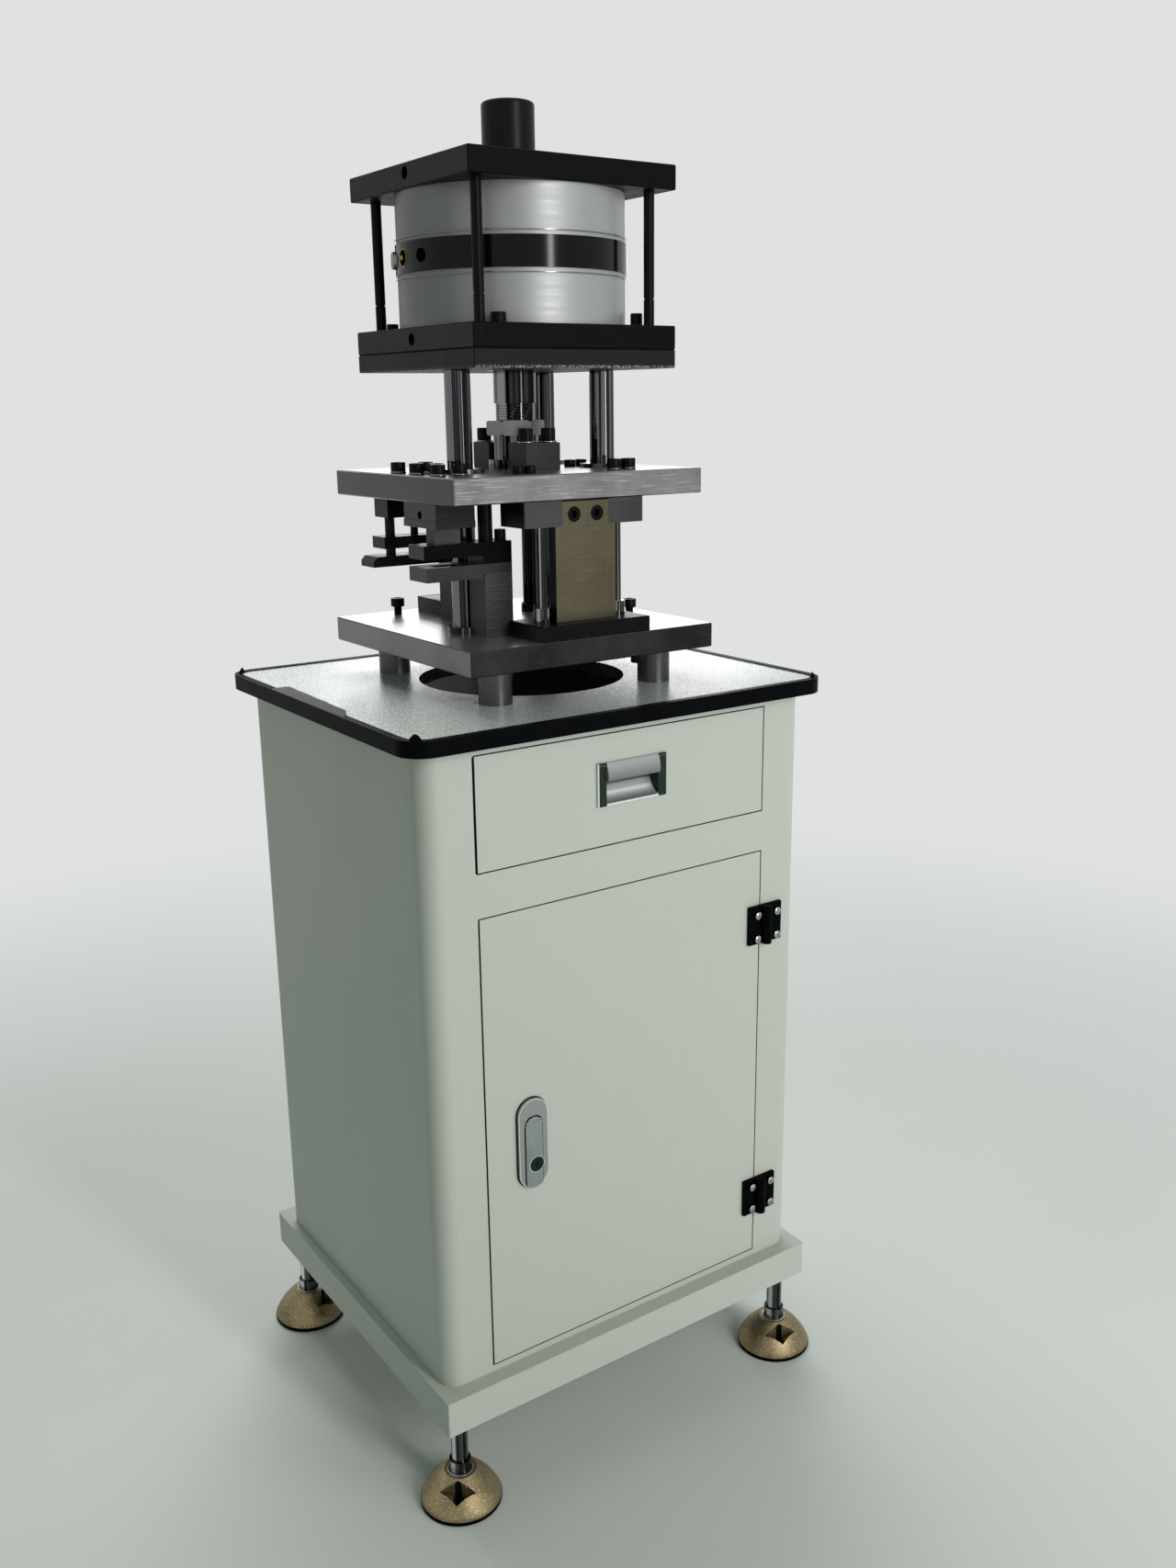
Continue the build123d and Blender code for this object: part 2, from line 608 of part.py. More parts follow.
def spacer_legs():
    """Four round spacers that carry the lower plate over the worktop."""
    return group([post(x, y, BOARD_Z1, LOWER_Z0, SPACER_R) for x, y in SPACERS])


def lower_plate():
    """Ground bed plate with the slug slot and the holes of the stop screws and the bolt underneath."""
    plate = block(-LOWER_SIZE / 2, LOWER_SIZE / 2, -LOWER_SIZE / 2, LOWER_SIZE / 2, LOWER_Z0, LOWER_Z1)
    plate = chamfer(plate.edges(), PLATE_CHAMFER)
    plate -= punch_slot(LOWER_Z0, LOWER_Z1)
    plate -= shank_holes([UNDER_SCREW], LOWER_Z0 + SCREW_SHANK_L, SMALL_SHANK_R)
    return plate - shank_holes(STOP_SCREWS, LOWER_Z1)


def punch_slot(z0, z1):
    """Slot that the punch plate enters."""
    half = PUNCH_L / 2 + SLOT_GAP
    return block(-half, half, TOOL_FRONT_Y - SLOT_GAP, PUNCH_BACK_Y + SLOT_GAP, z0, z1)


def guide_columns():
    """Three fixed columns with turned feet."""
    shafts = [post(x, y, LOWER_Z1, MOUNT_Z0, COLUMN_R) for x, y in COLUMNS]
    feet = [post(x, y, LOWER_Z1, LOWER_Z1 + COLUMN_FOOT_H, COLUMN_FOOT_R) for x, y in COLUMNS]
    return group([shaft + foot for shaft, foot in zip(shafts, feet)])


def cylinder_slab(z0, z1, edge=PLATE_CHAMFER):
    """Square plate of the cylinder stack."""
    slab = block(-CYL_SIZE_X / 2, CYL_SIZE_X / 2, -CYL_SIZE_Y / 2, CYL_SIZE_Y / 2, z0, z1)
    return chamfer(slab.edges(), edge)


def mount_plate():
    """Black plate on top of the columns that carries the cylinder."""
    plate = cylinder_slab(MOUNT_Z0, MOUNT_Z1)
    return plate - post(0, 0, MOUNT_Z0, MOUNT_Z1, GLAND_R + FIT)


def cylinder_base():
    """Lower end plate of the cylinder, with its oil port, tie-rod and screw holes."""
    plate = cylinder_slab(MOUNT_Z1, BASE_Z1)
    plate -= post(0, 0, MOUNT_Z1, BASE_Z1 - GLAND_STEP, GLAND_R + FIT)
    plate -= post(0, 0, BASE_Z1 - GLAND_STEP, BASE_Z1, ROD_R + AIR)
    plate -= sum_of([post(x, y, BASE_Z1 - TIE_THREAD_DEPTH, BASE_Z1, TIE_R + FIT) for x, y in TIES])
    plate -= shank_holes(BASE_SCREWS, BASE_Z1)
    plate -= shank_holes(BASE_SMALL_SCREWS, BASE_Z1, SMALL_SHANK_R)
    port_z = (MOUNT_Z1 + BASE_Z1) / 2
    return plate - bar_x(0, port_z, -CYL_SIZE_X / 2, -CYL_SIZE_X / 2 + PORT_DEPTH, PORT_R)


def rod_gland():
    """Bronze bush that guides the rod through the mount plate and the base."""
    sleeve = post(0, 0, MOUNT_Z0, BASE_Z1 - GLAND_STEP, GLAND_R)
    return sleeve - post(0, 0, MOUNT_Z0, BASE_Z1 - GLAND_STEP, ROD_R + RUN)


def cylinder_tubes():
    """Two tubes, one under and one over the dividing ring."""
    spans = ((BASE_Z1, RING_Z0), (RING_Z1, HEAD_Z0))
    tubes = [post(0, 0, z0, z1, TUBE_R) - post(0, 0, z0, z1, TUBE_BORE_R) for z0, z1 in spans]
    return group(tubes)


def divider_ring():
    """Black ring with a disc that parts the two chambers and passes the rod."""
    ring = post(0, 0, RING_Z0, RING_Z1, RING_R)
    spigot = post(0, 0, RING_Z0 - RING_SPIGOT_H, RING_Z1 + RING_SPIGOT_H, TUBE_BORE_R - FIT)
    reach = RING_Z1 + RING_SPIGOT_H
    return ring + spigot - post(0, 0, RING_Z0 - RING_SPIGOT_H, reach, ROD_UPPER_R + RUN)


def head_plate():
    """Upper end plate with the rod's bore, the tie-rod holes and its oil port."""
    plate = cylinder_slab(HEAD_Z0, HEAD_Z1)
    plate -= post(0, 0, HEAD_Z0, HEAD_Z1, ROD_UPPER_R + RUN)
    plate -= sum_of([post(x, y, HEAD_Z0, HEAD_Z0 + TIE_THREAD_DEPTH, TIE_R + FIT) for x, y in TIES])
    port_z = HEAD_Z1 - PORT_R - PORT_EDGE
    return plate - bar_x(0, port_z, -CYL_SIZE_X / 2, -CYL_SIZE_X / 2 + PORT_DEPTH, PORT_R)


def tie_rods():
    """Four rods between the end plates, with the groove where the thread starts."""
    rods = []
    groove_z = (BASE_Z1 + RING_Z0) / 2
    for x, y in TIES:
        rod = post(x, y, BASE_Z1 - TIE_THREAD_DEPTH, HEAD_Z0 + TIE_THREAD_DEPTH, TIE_R)
        groove = post(x, y, groove_z, groove_z + TIE_GROOVE_W, TIE_R)
        core = post(x, y, groove_z, groove_z + TIE_GROOVE_W, TIE_R - TIE_GROOVE_DEPTH)
        rods.append(rod - (groove - core))
    return group(rods)


def top_cap():
    """Turned cap over the upper end of the rod."""
    cap = post(0, 0, HEAD_Z1, CAP_Z1, CAP_R)
    cap = fillet(cap.faces().sort_by(Axis.Z)[-1].edges(), CAP_EDGE_R)
    return cap - post(0, 0, HEAD_Z1, CAP_Z1 - CAP_WALL, CAP_R - CAP_WALL)


def frame_screws():
    """Cap screws of the fixed frame: in the cylinder base, in and under the bed, and in the jaws."""
    screws = [cap_screw(x, y, BASE_Z1, BASE_HEAD_H) for x, y in BASE_SCREWS]
    screws += [small_screw(x, y, BASE_Z1, head) for (x, y), head in zip(BASE_SMALL_SCREWS, BASE_SMALL_HEADS)]
    stand = LOWER_Z1 + STOP_SCREW_STAND
    screws += [cap_screw(x, y, stand, shank_length=SCREW_SHANK_L + STOP_SCREW_STAND) for x, y in STOP_SCREWS]
    screws.append(small_screw(*JAW_SCREW, UPPER_JAW_Z1, JAW_HEAD_H))
    under = Rot(180, 0, 0) * small_screw(0, 0, 0)
    return group(screws + [Pos(*UNDER_SCREW, LOWER_Z0) * under])


# Press slide

def piston_rod():
    """Stepped rod, threaded below, slimmer through the ring and the head, with one piston in each chamber."""
    shoulder = RING_Z0 - PISTON_TOP_GAP - PISTON_T - RING_SPIGOT_H
    rod = post(0, 0, ROD_SHOULDER_Z, shoulder, ROD_R)
    rod += post(0, 0, shoulder, CAP_Z1 - CAP_WALL - ROD_TOP_GAP, ROD_UPPER_R)
    rod += post(0, 0, ROD_THREAD_Z, ROD_SHOULDER_Z, ROD_THREAD_R)
    rod += post(0, 0, ROD_THREAD_Z - ROD_SPIGOT_H, ROD_THREAD_Z, ROD_SPIGOT_R)
    return group([rod, pistons()])


def pistons():
    """The two pistons."""
    tops = (RING_Z0 - RING_SPIGOT_H - PISTON_TOP_GAP, HEAD_Z0 - PISTON_TOP_GAP)
    discs = [post(0, 0, top - PISTON_T, top, PISTON_R) for top in tops]
    return group([disc - post(0, 0, RING_Z0 - LOWER_TUBE_H, HEAD_Z0, ROD_UPPER_R + FIT) for disc in discs])


def jam_nut():
    """Hexagon nut that locks the rod in its adaptor."""
    hexagon = Pos(0, 0, ROD_THREAD_Z) * extrude(RegularPolygon(NUT_CORNER_R, 6, rotation=NUT_TURN), NUT_H)
    crown = post(0, 0, ROD_THREAD_Z, ROD_THREAD_Z + NUT_H, NUT_CORNER_R)
    crown = chamfer(crown.faces().filter_by(Axis.Z).edges(), NUT_BEVEL)
    return (hexagon & crown) - post(0, 0, ROD_THREAD_Z, ROD_THREAD_Z + NUT_H, ROD_THREAD_R + FIT)


def rod_adaptor():
    """Flanged stud socket that the clamps hold down on the middle plate."""
    body = post(0, 0, MIDDLE_Z1, ROD_THREAD_Z, ADAPTOR_R)
    body += post(0, 0, MIDDLE_Z1, MIDDLE_Z1 + ADAPTOR_FLANGE_H, ADAPTOR_FLANGE_R)
    return body - post(0, 0, ROD_THREAD_Z - ROD_SPIGOT_H, ROD_THREAD_Z, ROD_SPIGOT_R + FIT)


def clamp_blocks():
    """Two bridge blocks, hollowed to the adaptor, that hold its flange."""
    top = MIDDLE_Z1 + CLAMP_H
    neck = post(0, 0, MIDDLE_Z1, top, ADAPTOR_R + AIR)
    flange = post(0, 0, MIDDLE_Z1, MIDDLE_Z1 + ADAPTOR_FLANGE_H, ADAPTOR_FLANGE_R + FIT)
    blocks = []
    for y0, y1 in ((-CLAMP_Y_OUT, -CLAMP_Y_IN), (CLAMP_Y_IN, CLAMP_Y_OUT)):
        clamp = block(-CLAMP_L / 2, CLAMP_L / 2, y0, y1, MIDDLE_Z1, top)
        clamp = chamfer(clamp.edges().filter_by(Axis.Z), PLATE_CHAMFER)
        blocks.append(clamp - neck - flange - shank_holes(CLAMP_SCREWS, top))
    return group(blocks)


def press_screws():
    """Cap screws of the slide: in the clamps with washers, in the plate and in the punch plate."""
    screws = [on_washer(x, y, MIDDLE_Z1 + CLAMP_H, CLAMP_HEAD_H, WASHER_R) for x, y in CLAMP_SCREWS]
    screws += [on_washer(x, y, MIDDLE_Z1) for x, y in PLATE_SCREWS]
    screws += [small_screw(x, y, MIDDLE_Z1) for x, y in SMALL_SCREWS]
    return group(screws + punch_screws())


def middle_plate():
    """Ground slide plate with bores for the bushes and the screws."""
    plate = block(-MIDDLE_L / 2, MIDDLE_L / 2, -MIDDLE_W / 2, MIDDLE_W / 2, MIDDLE_Z0, MIDDLE_Z1)
    plate = chamfer(plate.edges(), PLATE_CHAMFER)
    plate -= sum_of([post(x, y, MIDDLE_Z0, MIDDLE_Z1, BUSH_R + FIT) for x, y in COLUMNS])
    plate -= shank_holes(SMALL_SCREWS, MIDDLE_Z1, SMALL_SHANK_R)
    return plate - shank_holes(PLATE_SCREWS, MIDDLE_Z1)


def guide_bushes():
    """Flanged bronze bushes that run on the columns."""
    bushes = []
    for x, y in COLUMNS:
        bush = post(x, y, MIDDLE_Z0, MIDDLE_Z1, BUSH_R)
        bush += post(x, y, MIDDLE_Z1, MIDDLE_Z1 + BUSH_FLANGE_T, BUSH_FLANGE_R)
        bushes.append(bush - post(x, y, MIDDLE_Z0, MIDDLE_Z1 + BUSH_FLANGE_T, COLUMN_R + RUN))
    return group(bushes)


# Right tool

def die_base():
    """Black base with the slot that the punch plate enters."""
    base = block(-DIE_L / 2, DIE_L / 2, DIE_FRONT_Y, DIE_BACK_Y, LOWER_Z1, DIE_Z1)
    base = chamfer(base.faces().sort_by(Axis.Z)[-1].edges(), DIE_CHAMFER)
    base -= punch_slot(LOWER_Z1, DIE_Z1)
    return base - sum_of([post(x, PIN_Y, LOWER_Z1, DIE_Z1, PIN_R + FIT) for x in (-PIN_X, PIN_X)])


def guide_pins():
    """Two pins with collars that keep the shoe over the die, and the stop post behind them."""
    pins = []
    for x in (-PIN_X, PIN_X):
        pin = post(x, PIN_Y, LOWER_Z1, SHOE_Z0 + PIN_ENGAGE, PIN_R)
        pin = fillet(pin.faces().sort_by(Axis.Z)[-1].edges(), PIN_ROUND)
        pins.append(pin + post(x, PIN_Y, DIE_Z1, DIE_Z1 + PIN_COLLAR_H, PIN_COLLAR_R))
    return group(pins + [stop_post()])


def stop_post():
    """Post with a rounded foot that the middle plate meets when the press is fully down."""
    foot = post(LIMIT_X, LIMIT_Y, LOWER_Z1, LOWER_Z1 + LIMIT_FOOT_H, LIMIT_FOOT_R)
    foot = fillet(foot.faces().sort_by(Axis.Z)[-1].edges(), LIMIT_FOOT_ROUND)
    return foot + post(LIMIT_X, LIMIT_Y, LOWER_Z1, MIDDLE_Z0 - STROKE - LIMIT_GAP, LIMIT_R)


def punch_shoe():
    """Shoe under the middle plate, recessed in front for the punch plate's neck."""
    back = TOOL_FRONT_Y + SHOE_DEPTH
    shoe = block(-SHOE_L / 2, SHOE_L / 2, TOOL_FRONT_Y, back, SHOE_Z0, MIDDLE_Z0)
    shoe = chamfer(shoe.edges().filter_by(Axis.Z), PLATE_CHAMFER)
    neck = PUNCH_NECK_L / 2 + FIT
    shoe -= block(-neck, neck, TOOL_FRONT_Y, PUNCH_BACK_Y, SHOE_Z0, MIDDLE_Z0)
    for x in (-PIN_X, PIN_X):
        shoe -= post(x, PIN_Y, SHOE_Z0, MIDDLE_Z0, PIN_R + RUN)
    screw_z = MIDDLE_Z0 - PUNCH_SCREW_DROP
    for x in (-PUNCH_SCREW_X, PUNCH_SCREW_X):
        shoe -= bar_y(x, screw_z, PUNCH_BACK_Y, PUNCH_BACK_Y + SCREW_SHANK_L, SCREW_SHANK_R + FIT)
    return shoe


def punch_plate():
    """T-shaped punch: a neck in the shoe and a broad blade that enters the die."""
    neck = block(-PUNCH_NECK_L / 2, PUNCH_NECK_L / 2, TOOL_FRONT_Y, PUNCH_BACK_Y,
                 SHOE_Z0, MIDDLE_Z0 - PUNCH_NECK_DROP)
    blade = block(-PUNCH_L / 2, PUNCH_L / 2, TOOL_FRONT_Y, PUNCH_BACK_Y, LOWER_Z1 + PUNCH_END_STAND, SHOE_Z0)
    punch = neck + blade
    screw_z = MIDDLE_Z0 - PUNCH_SCREW_DROP
    for x in (-PUNCH_SCREW_X, PUNCH_SCREW_X):
        punch -= bar_y(x, screw_z, TOOL_FRONT_Y, PUNCH_BACK_Y, SCREW_SHANK_R + FIT)
        punch -= bar_y(x, screw_z, TOOL_FRONT_Y, TOOL_FRONT_Y + SCREW_HEAD_H, SCREW_HEAD_R + FIT)
    return punch


def punch_screws():
    """Two cap screws, sunk in the neck, that hold the punch plate in the shoe."""
    screw = Rot(90, 0, 0) * cap_screw(0, 0, 0, shank_length=PUNCH_T - SCREW_HEAD_H + SCREW_SHANK_L)
    seat_y = TOOL_FRONT_Y + SCREW_HEAD_H
    return [Pos(x, seat_y, MIDDLE_Z0 - PUNCH_SCREW_DROP) * screw for x in (-PUNCH_SCREW_X, PUNCH_SCREW_X)]


# Left tool

def jaw_riser():
    """Column of steel that carries the lower jaw."""
    return block(RISER_X0, JAW_X1, JAW_Y0, JAW_Y1 + AIR, LOWER_Z1, JAW_Z0 + JAW_STEP)


def lower_jaw():
    """Long lower die, stepped underneath where it sits on the riser."""
    jaw = block(JAW_X0, JAW_X1, JAW_Y0, LOWER_JAW_Y1, JAW_Z0, JAW_Z1)
    jaw -= block(RISER_X0 - PLATE_CHAMFER, JAW_X1, JAW_Y0, LOWER_JAW_Y1, JAW_Z0, JAW_Z0 + JAW_STEP)
    jaw -= jaw_window(JAW_Z0, JAW_Z1)
    return jaw - post_hole(JAW_Z1)


def jaw_window(z0, z1):
    """Window that the jaw punch passes."""
    return block(JAW_PUNCH_X0 - RUN, JAW_PUNCH_X1 + RUN, JAW_PUNCH_Y0 - RUN, JAW_PUNCH_Y1 + RUN, z0, z1)


def post_hole(top):
    """Bore for the guide post, down to just past the end of its travel."""
    return post(POST_X, POST_Y, POST_END_Z - STROKE - POST_SPARE, top, POST_R + RUN)


def jaw_spacer():
    """Packing that sets the gap between the jaws."""
    spacer = block(JAW_X1 - JAW_SPACER_L, JAW_X1, JAW_Y0, JAW_Y1, JAW_Z1, UPPER_JAW_Z0)
    return spacer - post_hole(UPPER_JAW_Z0)


def upper_jaw():
    """Upper die bar over the gap, which guides the jaw punch."""
    jaw = block(UPPER_JAW_X0, JAW_X1, JAW_Y0, JAW_Y1, UPPER_JAW_Z0, UPPER_JAW_Z1)
    jaw -= shank_holes([JAW_SCREW], UPPER_JAW_Z1, SMALL_SHANK_R)
    return jaw - jaw_window(UPPER_JAW_Z0, UPPER_JAW_Z1) - post_hole(UPPER_JAW_Z1)


def jaw_punch_holder():
    """Block under the middle plate with a flange round its lower end and a cross drilling."""
    z0 = MIDDLE_Z0 - HOLDER_H
    holder = block(HOLDER_X0, HOLDER_X1, JAW_Y0, HOLDER_Y1, z0, MIDDLE_Z0)
    holder += block(HOLDER_X0 - HOLDER_LIP_OUT, HOLDER_X1, JAW_Y0 - HOLDER_LIP_OUT, HOLDER_Y1, z0, z0 + HOLDER_LIP_H)
    drill_y = (JAW_Y0 + HOLDER_Y1) / 2
    return holder - bar_x(drill_y, MIDDLE_Z0 - HOLDER_H / 2, HOLDER_X0, HOLDER_X0 + PORT_DEPTH, HOLDER_DRILL_R)


def jaw_punch():
    """Rectangular punch guided in the upper jaw."""
    return block(JAW_PUNCH_X0, JAW_PUNCH_X1, JAW_PUNCH_Y0, JAW_PUNCH_Y1,
                 UPPER_JAW_Z1 - JAW_PUNCH_ENTER, MIDDLE_Z0 - HOLDER_H)


def jaw_guide_post():
    """Round post under the middle plate that enters the jaw stack."""
    return post(POST_X, POST_Y, POST_END_Z, MIDDLE_Z0, POST_R)


# Rear-left tool

def rear_riser():
    """Upright block with a low foot behind it, and the packing between the two bars."""
    y0 = REAR_Y - REAR_BAR_DEPTH / 2
    y1 = REAR_Y + REAR_BAR_DEPTH / 2
    upright = block(REAR_RISER_X0, REAR_RISER_X1, y0, y1, LOWER_Z1, DIE_BAR_Z0)
    foot = block(REAR_BASE_X0, REAR_BASE_X1, y1, y1 + REAR_BASE_DEPTH, LOWER_Z1, LOWER_Z1 + REAR_BASE_H)
    packing = block(REAR_RISER_X0, REAR_RISER_X1, y0, y1, DIE_BAR_Z1, GUIDE_Z0)
    return group([upright + foot, packing])


def rear_die_bar():
    """Long bar with a bevelled nose and the slug hole through it."""
    bar = block(DIE_BAR_X0, REAR_RISER_X1, REAR_Y - REAR_BAR_DEPTH / 2, REAR_Y + REAR_BAR_DEPTH / 2,
                DIE_BAR_Z0, DIE_BAR_Z1)
    nose = bar.faces().sort_by(Axis.X)[0].edges().filter_by(Axis.Y).sort_by(Axis.Z)[-1]
    bar = chamfer(nose, DIE_BAR_BEVEL)
    return bar - post(REAR_PUNCH_X, REAR_Y, DIE_BAR_Z0, DIE_BAR_Z1, REAR_HOLE_R)


def rear_guide_bar():
    """Flat bar over the die bar that guides the hole punch and its pin."""
    bar = block(GUIDE_X0, REAR_RISER_X1, REAR_Y - GUIDE_DEPTH / 2, REAR_Y + GUIDE_DEPTH / 2,
                GUIDE_Z0, GUIDE_Z0 + GUIDE_T)
    bar -= post(REAR_PIN_X, REAR_Y, GUIDE_Z0, GUIDE_Z0 + GUIDE_T, REAR_PIN_R + RUN)
    return bar - post(REAR_PUNCH_X, REAR_Y, GUIDE_Z0, GUIDE_Z0 + GUIDE_T, REAR_PUNCH_R + RUN)


def rear_punch_holder():
    """Block under the middle plate that holds the hole punch."""
    return block(REAR_HOLDER_X0, REAR_HOLDER_X1, REAR_HOLDER_Y0, REAR_HOLDER_Y1,
                 MIDDLE_Z0 - REAR_HOLDER_H, MIDDLE_Z0)


def rear_punch():
    """Round hole punch down to just over the die bar, and the guide pin beside it."""
    punch = post(REAR_PUNCH_X, REAR_Y, DIE_BAR_Z1 + SLOT_GAP, MIDDLE_Z0 - REAR_HOLDER_H, REAR_PUNCH_R)
    pin = post(REAR_PIN_X, REAR_Y, GUIDE_Z0 + GUIDE_T - REAR_PIN_ENTER, MIDDLE_Z0, REAR_PIN_R)
    return group([punch, pin])


# Drawer

def drawer_front():
    """Folded front sheet of the drawer."""
    half = OPENING_W / 2 - PANEL_GAP
    z0 = DRAWER_OPEN_Z0 + PANEL_GAP
    z1 = DRAWER_OPEN_Z1 - PANEL_GAP
    front = block(-half, half, FACE_Y, DRAWER_BOX_Y0, z0, z1)
    front -= block(-half + SHEET, half - SHEET, FACE_Y + SHEET, DRAWER_BOX_Y0, z0 + SHEET, z1 - SHEET)
    rim = PULL_FLANGE - FIT
    return front - block(PULL_X0 + rim, PULL_X1 - rim, FACE_Y, FACE_Y + SHEET, PULL_Z0 + rim, PULL_Z1 - rim)


def drawer_box():
    """Open tray with a slide bar along each side."""
    z1 = DRAWER_BOX_Z0 + DRAWER_BOX_H
    tray = block(-DRAWER_BOX_X, DRAWER_BOX_X, DRAWER_BOX_Y0, DRAWER_BOX_Y1, DRAWER_BOX_Z0, z1)
    tray -= block(-DRAWER_BOX_X + SHEET, DRAWER_BOX_X - SHEET, DRAWER_BOX_Y0 + SHEET, DRAWER_BOX_Y1 - SHEET,
                  DRAWER_BOX_Z0 + SHEET, z1)
    bar_half = SLIDE_H / 2 - SHEET - RUN
    reach = DRAWER_BOX_X + SLIDE_BAR_T
    for x0, x1 in ((-reach, -DRAWER_BOX_X), (DRAWER_BOX_X, reach)):
        tray += block(x0, x1, DRAWER_BOX_Y0, DRAWER_BOX_Y1, SLIDE_Z - bar_half, SLIDE_Z + bar_half)
    return tray


def drawer_runners():
    """Channels between the front lip and the back panel that carry the slide bars."""
    web = DRAWER_BOX_X + SLIDE_BAR_T + RUN
    y0 = FACE_Y + SHEET + LIP_DEPTH
    y1 = BACK_Y - 2 * SHEET
    z0 = SLIDE_Z - SLIDE_H / 2
    z1 = SLIDE_Z + SLIDE_H / 2
    channels = []
    for side in (-1, 1):
        x0, x1 = sorted((side * (web - SLIDE_LIP), side * (OPENING_W / 2 + SHEET)))
        inner0, inner1 = sorted((side * (web - SLIDE_LIP), side * web))
        channel = block(x0, x1, y0, y1, z0, z1)
        channels.append(channel - block(inner0, inner1, y0, y1, z0 + SHEET, z1 - SHEET))
    return group(channels)


def drawer_pull():
    """Sunk shell pull: rolled upper lip, curved scoop behind it and a bright lower rim."""
    back = FACE_Y + PULL_SINK
    front = FACE_Y - PULL_RIM
    low = PULL_Z0 + PULL_FLANGE
    high = PULL_Z1 - PULL_FLANGE
    shell = Polyline((front, PULL_Z0 + PULL_FLANGE), (front, PULL_Z0), (FACE_Y, PULL_Z0), (FACE_Y, low), (back, low),
                     (back, high), (FACE_Y, high), (FACE_Y, PULL_Z1), (front, PULL_Z1))
    lip_z = PULL_Z1 - PULL_LIP_H
    lip = ThreePointArc((front, PULL_Z1), (FACE_Y - PULL_LIP_OUT, PULL_Z1 - PULL_LIP_H / 2),
                        (FACE_Y - PULL_LIP_OUT, lip_z))
    lip_back = FACE_Y - PULL_LIP_OUT + PULL_LIP_T
    hollow = Polyline((FACE_Y - PULL_LIP_OUT, lip_z), (lip_back, lip_z), (lip_back, high - PULL_WALL),
                      (back - PULL_WALL, high - PULL_WALL), (back - PULL_WALL, PULL_Z0 + PULL_H / 2))
    scoop = ThreePointArc((back - PULL_WALL, PULL_Z0 + PULL_H / 2), (FACE_Y + PULL_SINK / 2, low + PULL_SINK / 2),
                          (front, low))
    section = Plane.YZ * make_face([shell, lip, hollow, scoop])
    return Pos(PULL_X0 + PULL_CAP_L, 0, 0) * extrude(section, PULL_L - 2 * PULL_CAP_L)


def pull_caps():
    """End caps of the pull, with the rim that covers the cut-out."""
    caps = []
    for x0, x1, inner0, inner1 in ((PULL_X0, PULL_X0 + PULL_CAP_L, PULL_X0 + PULL_FLANGE, PULL_X0 + PULL_CAP_L),
                                   (PULL_X1 - PULL_CAP_L, PULL_X1, PULL_X1 - PULL_CAP_L, PULL_X1 - PULL_FLANGE)):
        cap = block(x0, x1, FACE_Y - PULL_RIM, FACE_Y, PULL_Z0, PULL_Z1)
        caps.append(cap + block(inner0, inner1, FACE_Y, FACE_Y + PULL_SINK,
                                PULL_Z0 + PULL_FLANGE, PULL_Z1 - PULL_FLANGE))
    return group(caps)


# Door, hinges and lock

def door_panel():
    """Folded door tray with the lock's cut-out."""
    half = OPENING_W / 2 - PANEL_GAP
    z0 = DOOR_OPEN_Z0 + PANEL_GAP
    z1 = DOOR_OPEN_Z1 - PANEL_GAP
    panel = block(-half, half, FACE_Y, DOOR_BACK_Y, z0, z1)
    panel -= block(-half + SHEET, half - SHEET, FACE_Y + SHEET, DOOR_BACK_Y, z0 + SHEET, z1 - SHEET)
    return panel - lock_body(FACE_Y, FACE_Y + SHEET, FIT)


def lock_body(y0, y1, gap=0.0):
    """Rectangular body of the lock, behind its plate."""
    half_x = LOCK_BODY_L / 2 + gap
    half_z = LOCK_BODY_H / 2 + gap
    return block(LOCK_X - half_x, LOCK_X + half_x, y0, y1, LOCK_Z - half_z, LOCK_Z + half_z)


def hinge_knuckles(z, parts, radius):
    """Knuckle segments of one hinge, counted from below in thirds of its height."""
    third = HINGE_H / 3
    segments = []
    for index in parts:
        low = z - HINGE_H / 2 + index * third + (RUN if index else 0)
        high = z - HINGE_H / 2 + (index + 1) * third - (RUN if index < 2 else 0)
        segments.append(post(HINGE_X, HINGE_Y, low, high, radius))
    return sum_of(segments)


def hinge_leaf(z, side, parts):
    """Leaf with its own knuckles and two screw holes, to one side of the pivot."""
    x0, x1 = sorted((HINGE_X + side * RUN, HINGE_X + side * HINGE_SIZE / 2))
    plate = block(x0, x1, FACE_Y - HINGE_LEAF_T, FACE_Y, z - HINGE_H / 2, z + HINGE_H / 2)
    others = [index for index in range(3) if index not in parts]
    plate -= hinge_knuckles(z, others, KNUCKLE_R + AIR)
    plate += hinge_knuckles(z, parts, KNUCKLE_R)
    for dz in (-HINGE_PITCH / 2, HINGE_PITCH / 2):
        plate -= bar_y(HINGE_X + side * HINGE_PITCH / 2, z + dz, FACE_Y - HINGE_LEAF_T, FACE_Y, HINGE_HOLE_R)
    return plate


def hinge_frame_leaves():
    """Fixed leaves with the outer knuckles and the pins."""
    pins = [post(HINGE_X, HINGE_Y, z - HINGE_H / 2, z + HINGE_H / 2, HINGE_PIN_R) for z in HINGE_Z]
    return group([hinge_leaf(z, 1, (0, 2)) + pin for z, pin in zip(HINGE_Z, pins)])


def hinge_door_leaves():
    """Moving leaves with the middle knuckles, bored for the pins."""
    bores = [post(HINGE_X, HINGE_Y, z - HINGE_H / 2, z + HINGE_H / 2, HINGE_PIN_R + RUN) for z in HINGE_Z]
    return group([hinge_leaf(z, -1, (1,)) - bore for z, bore in zip(HINGE_Z, bores)])


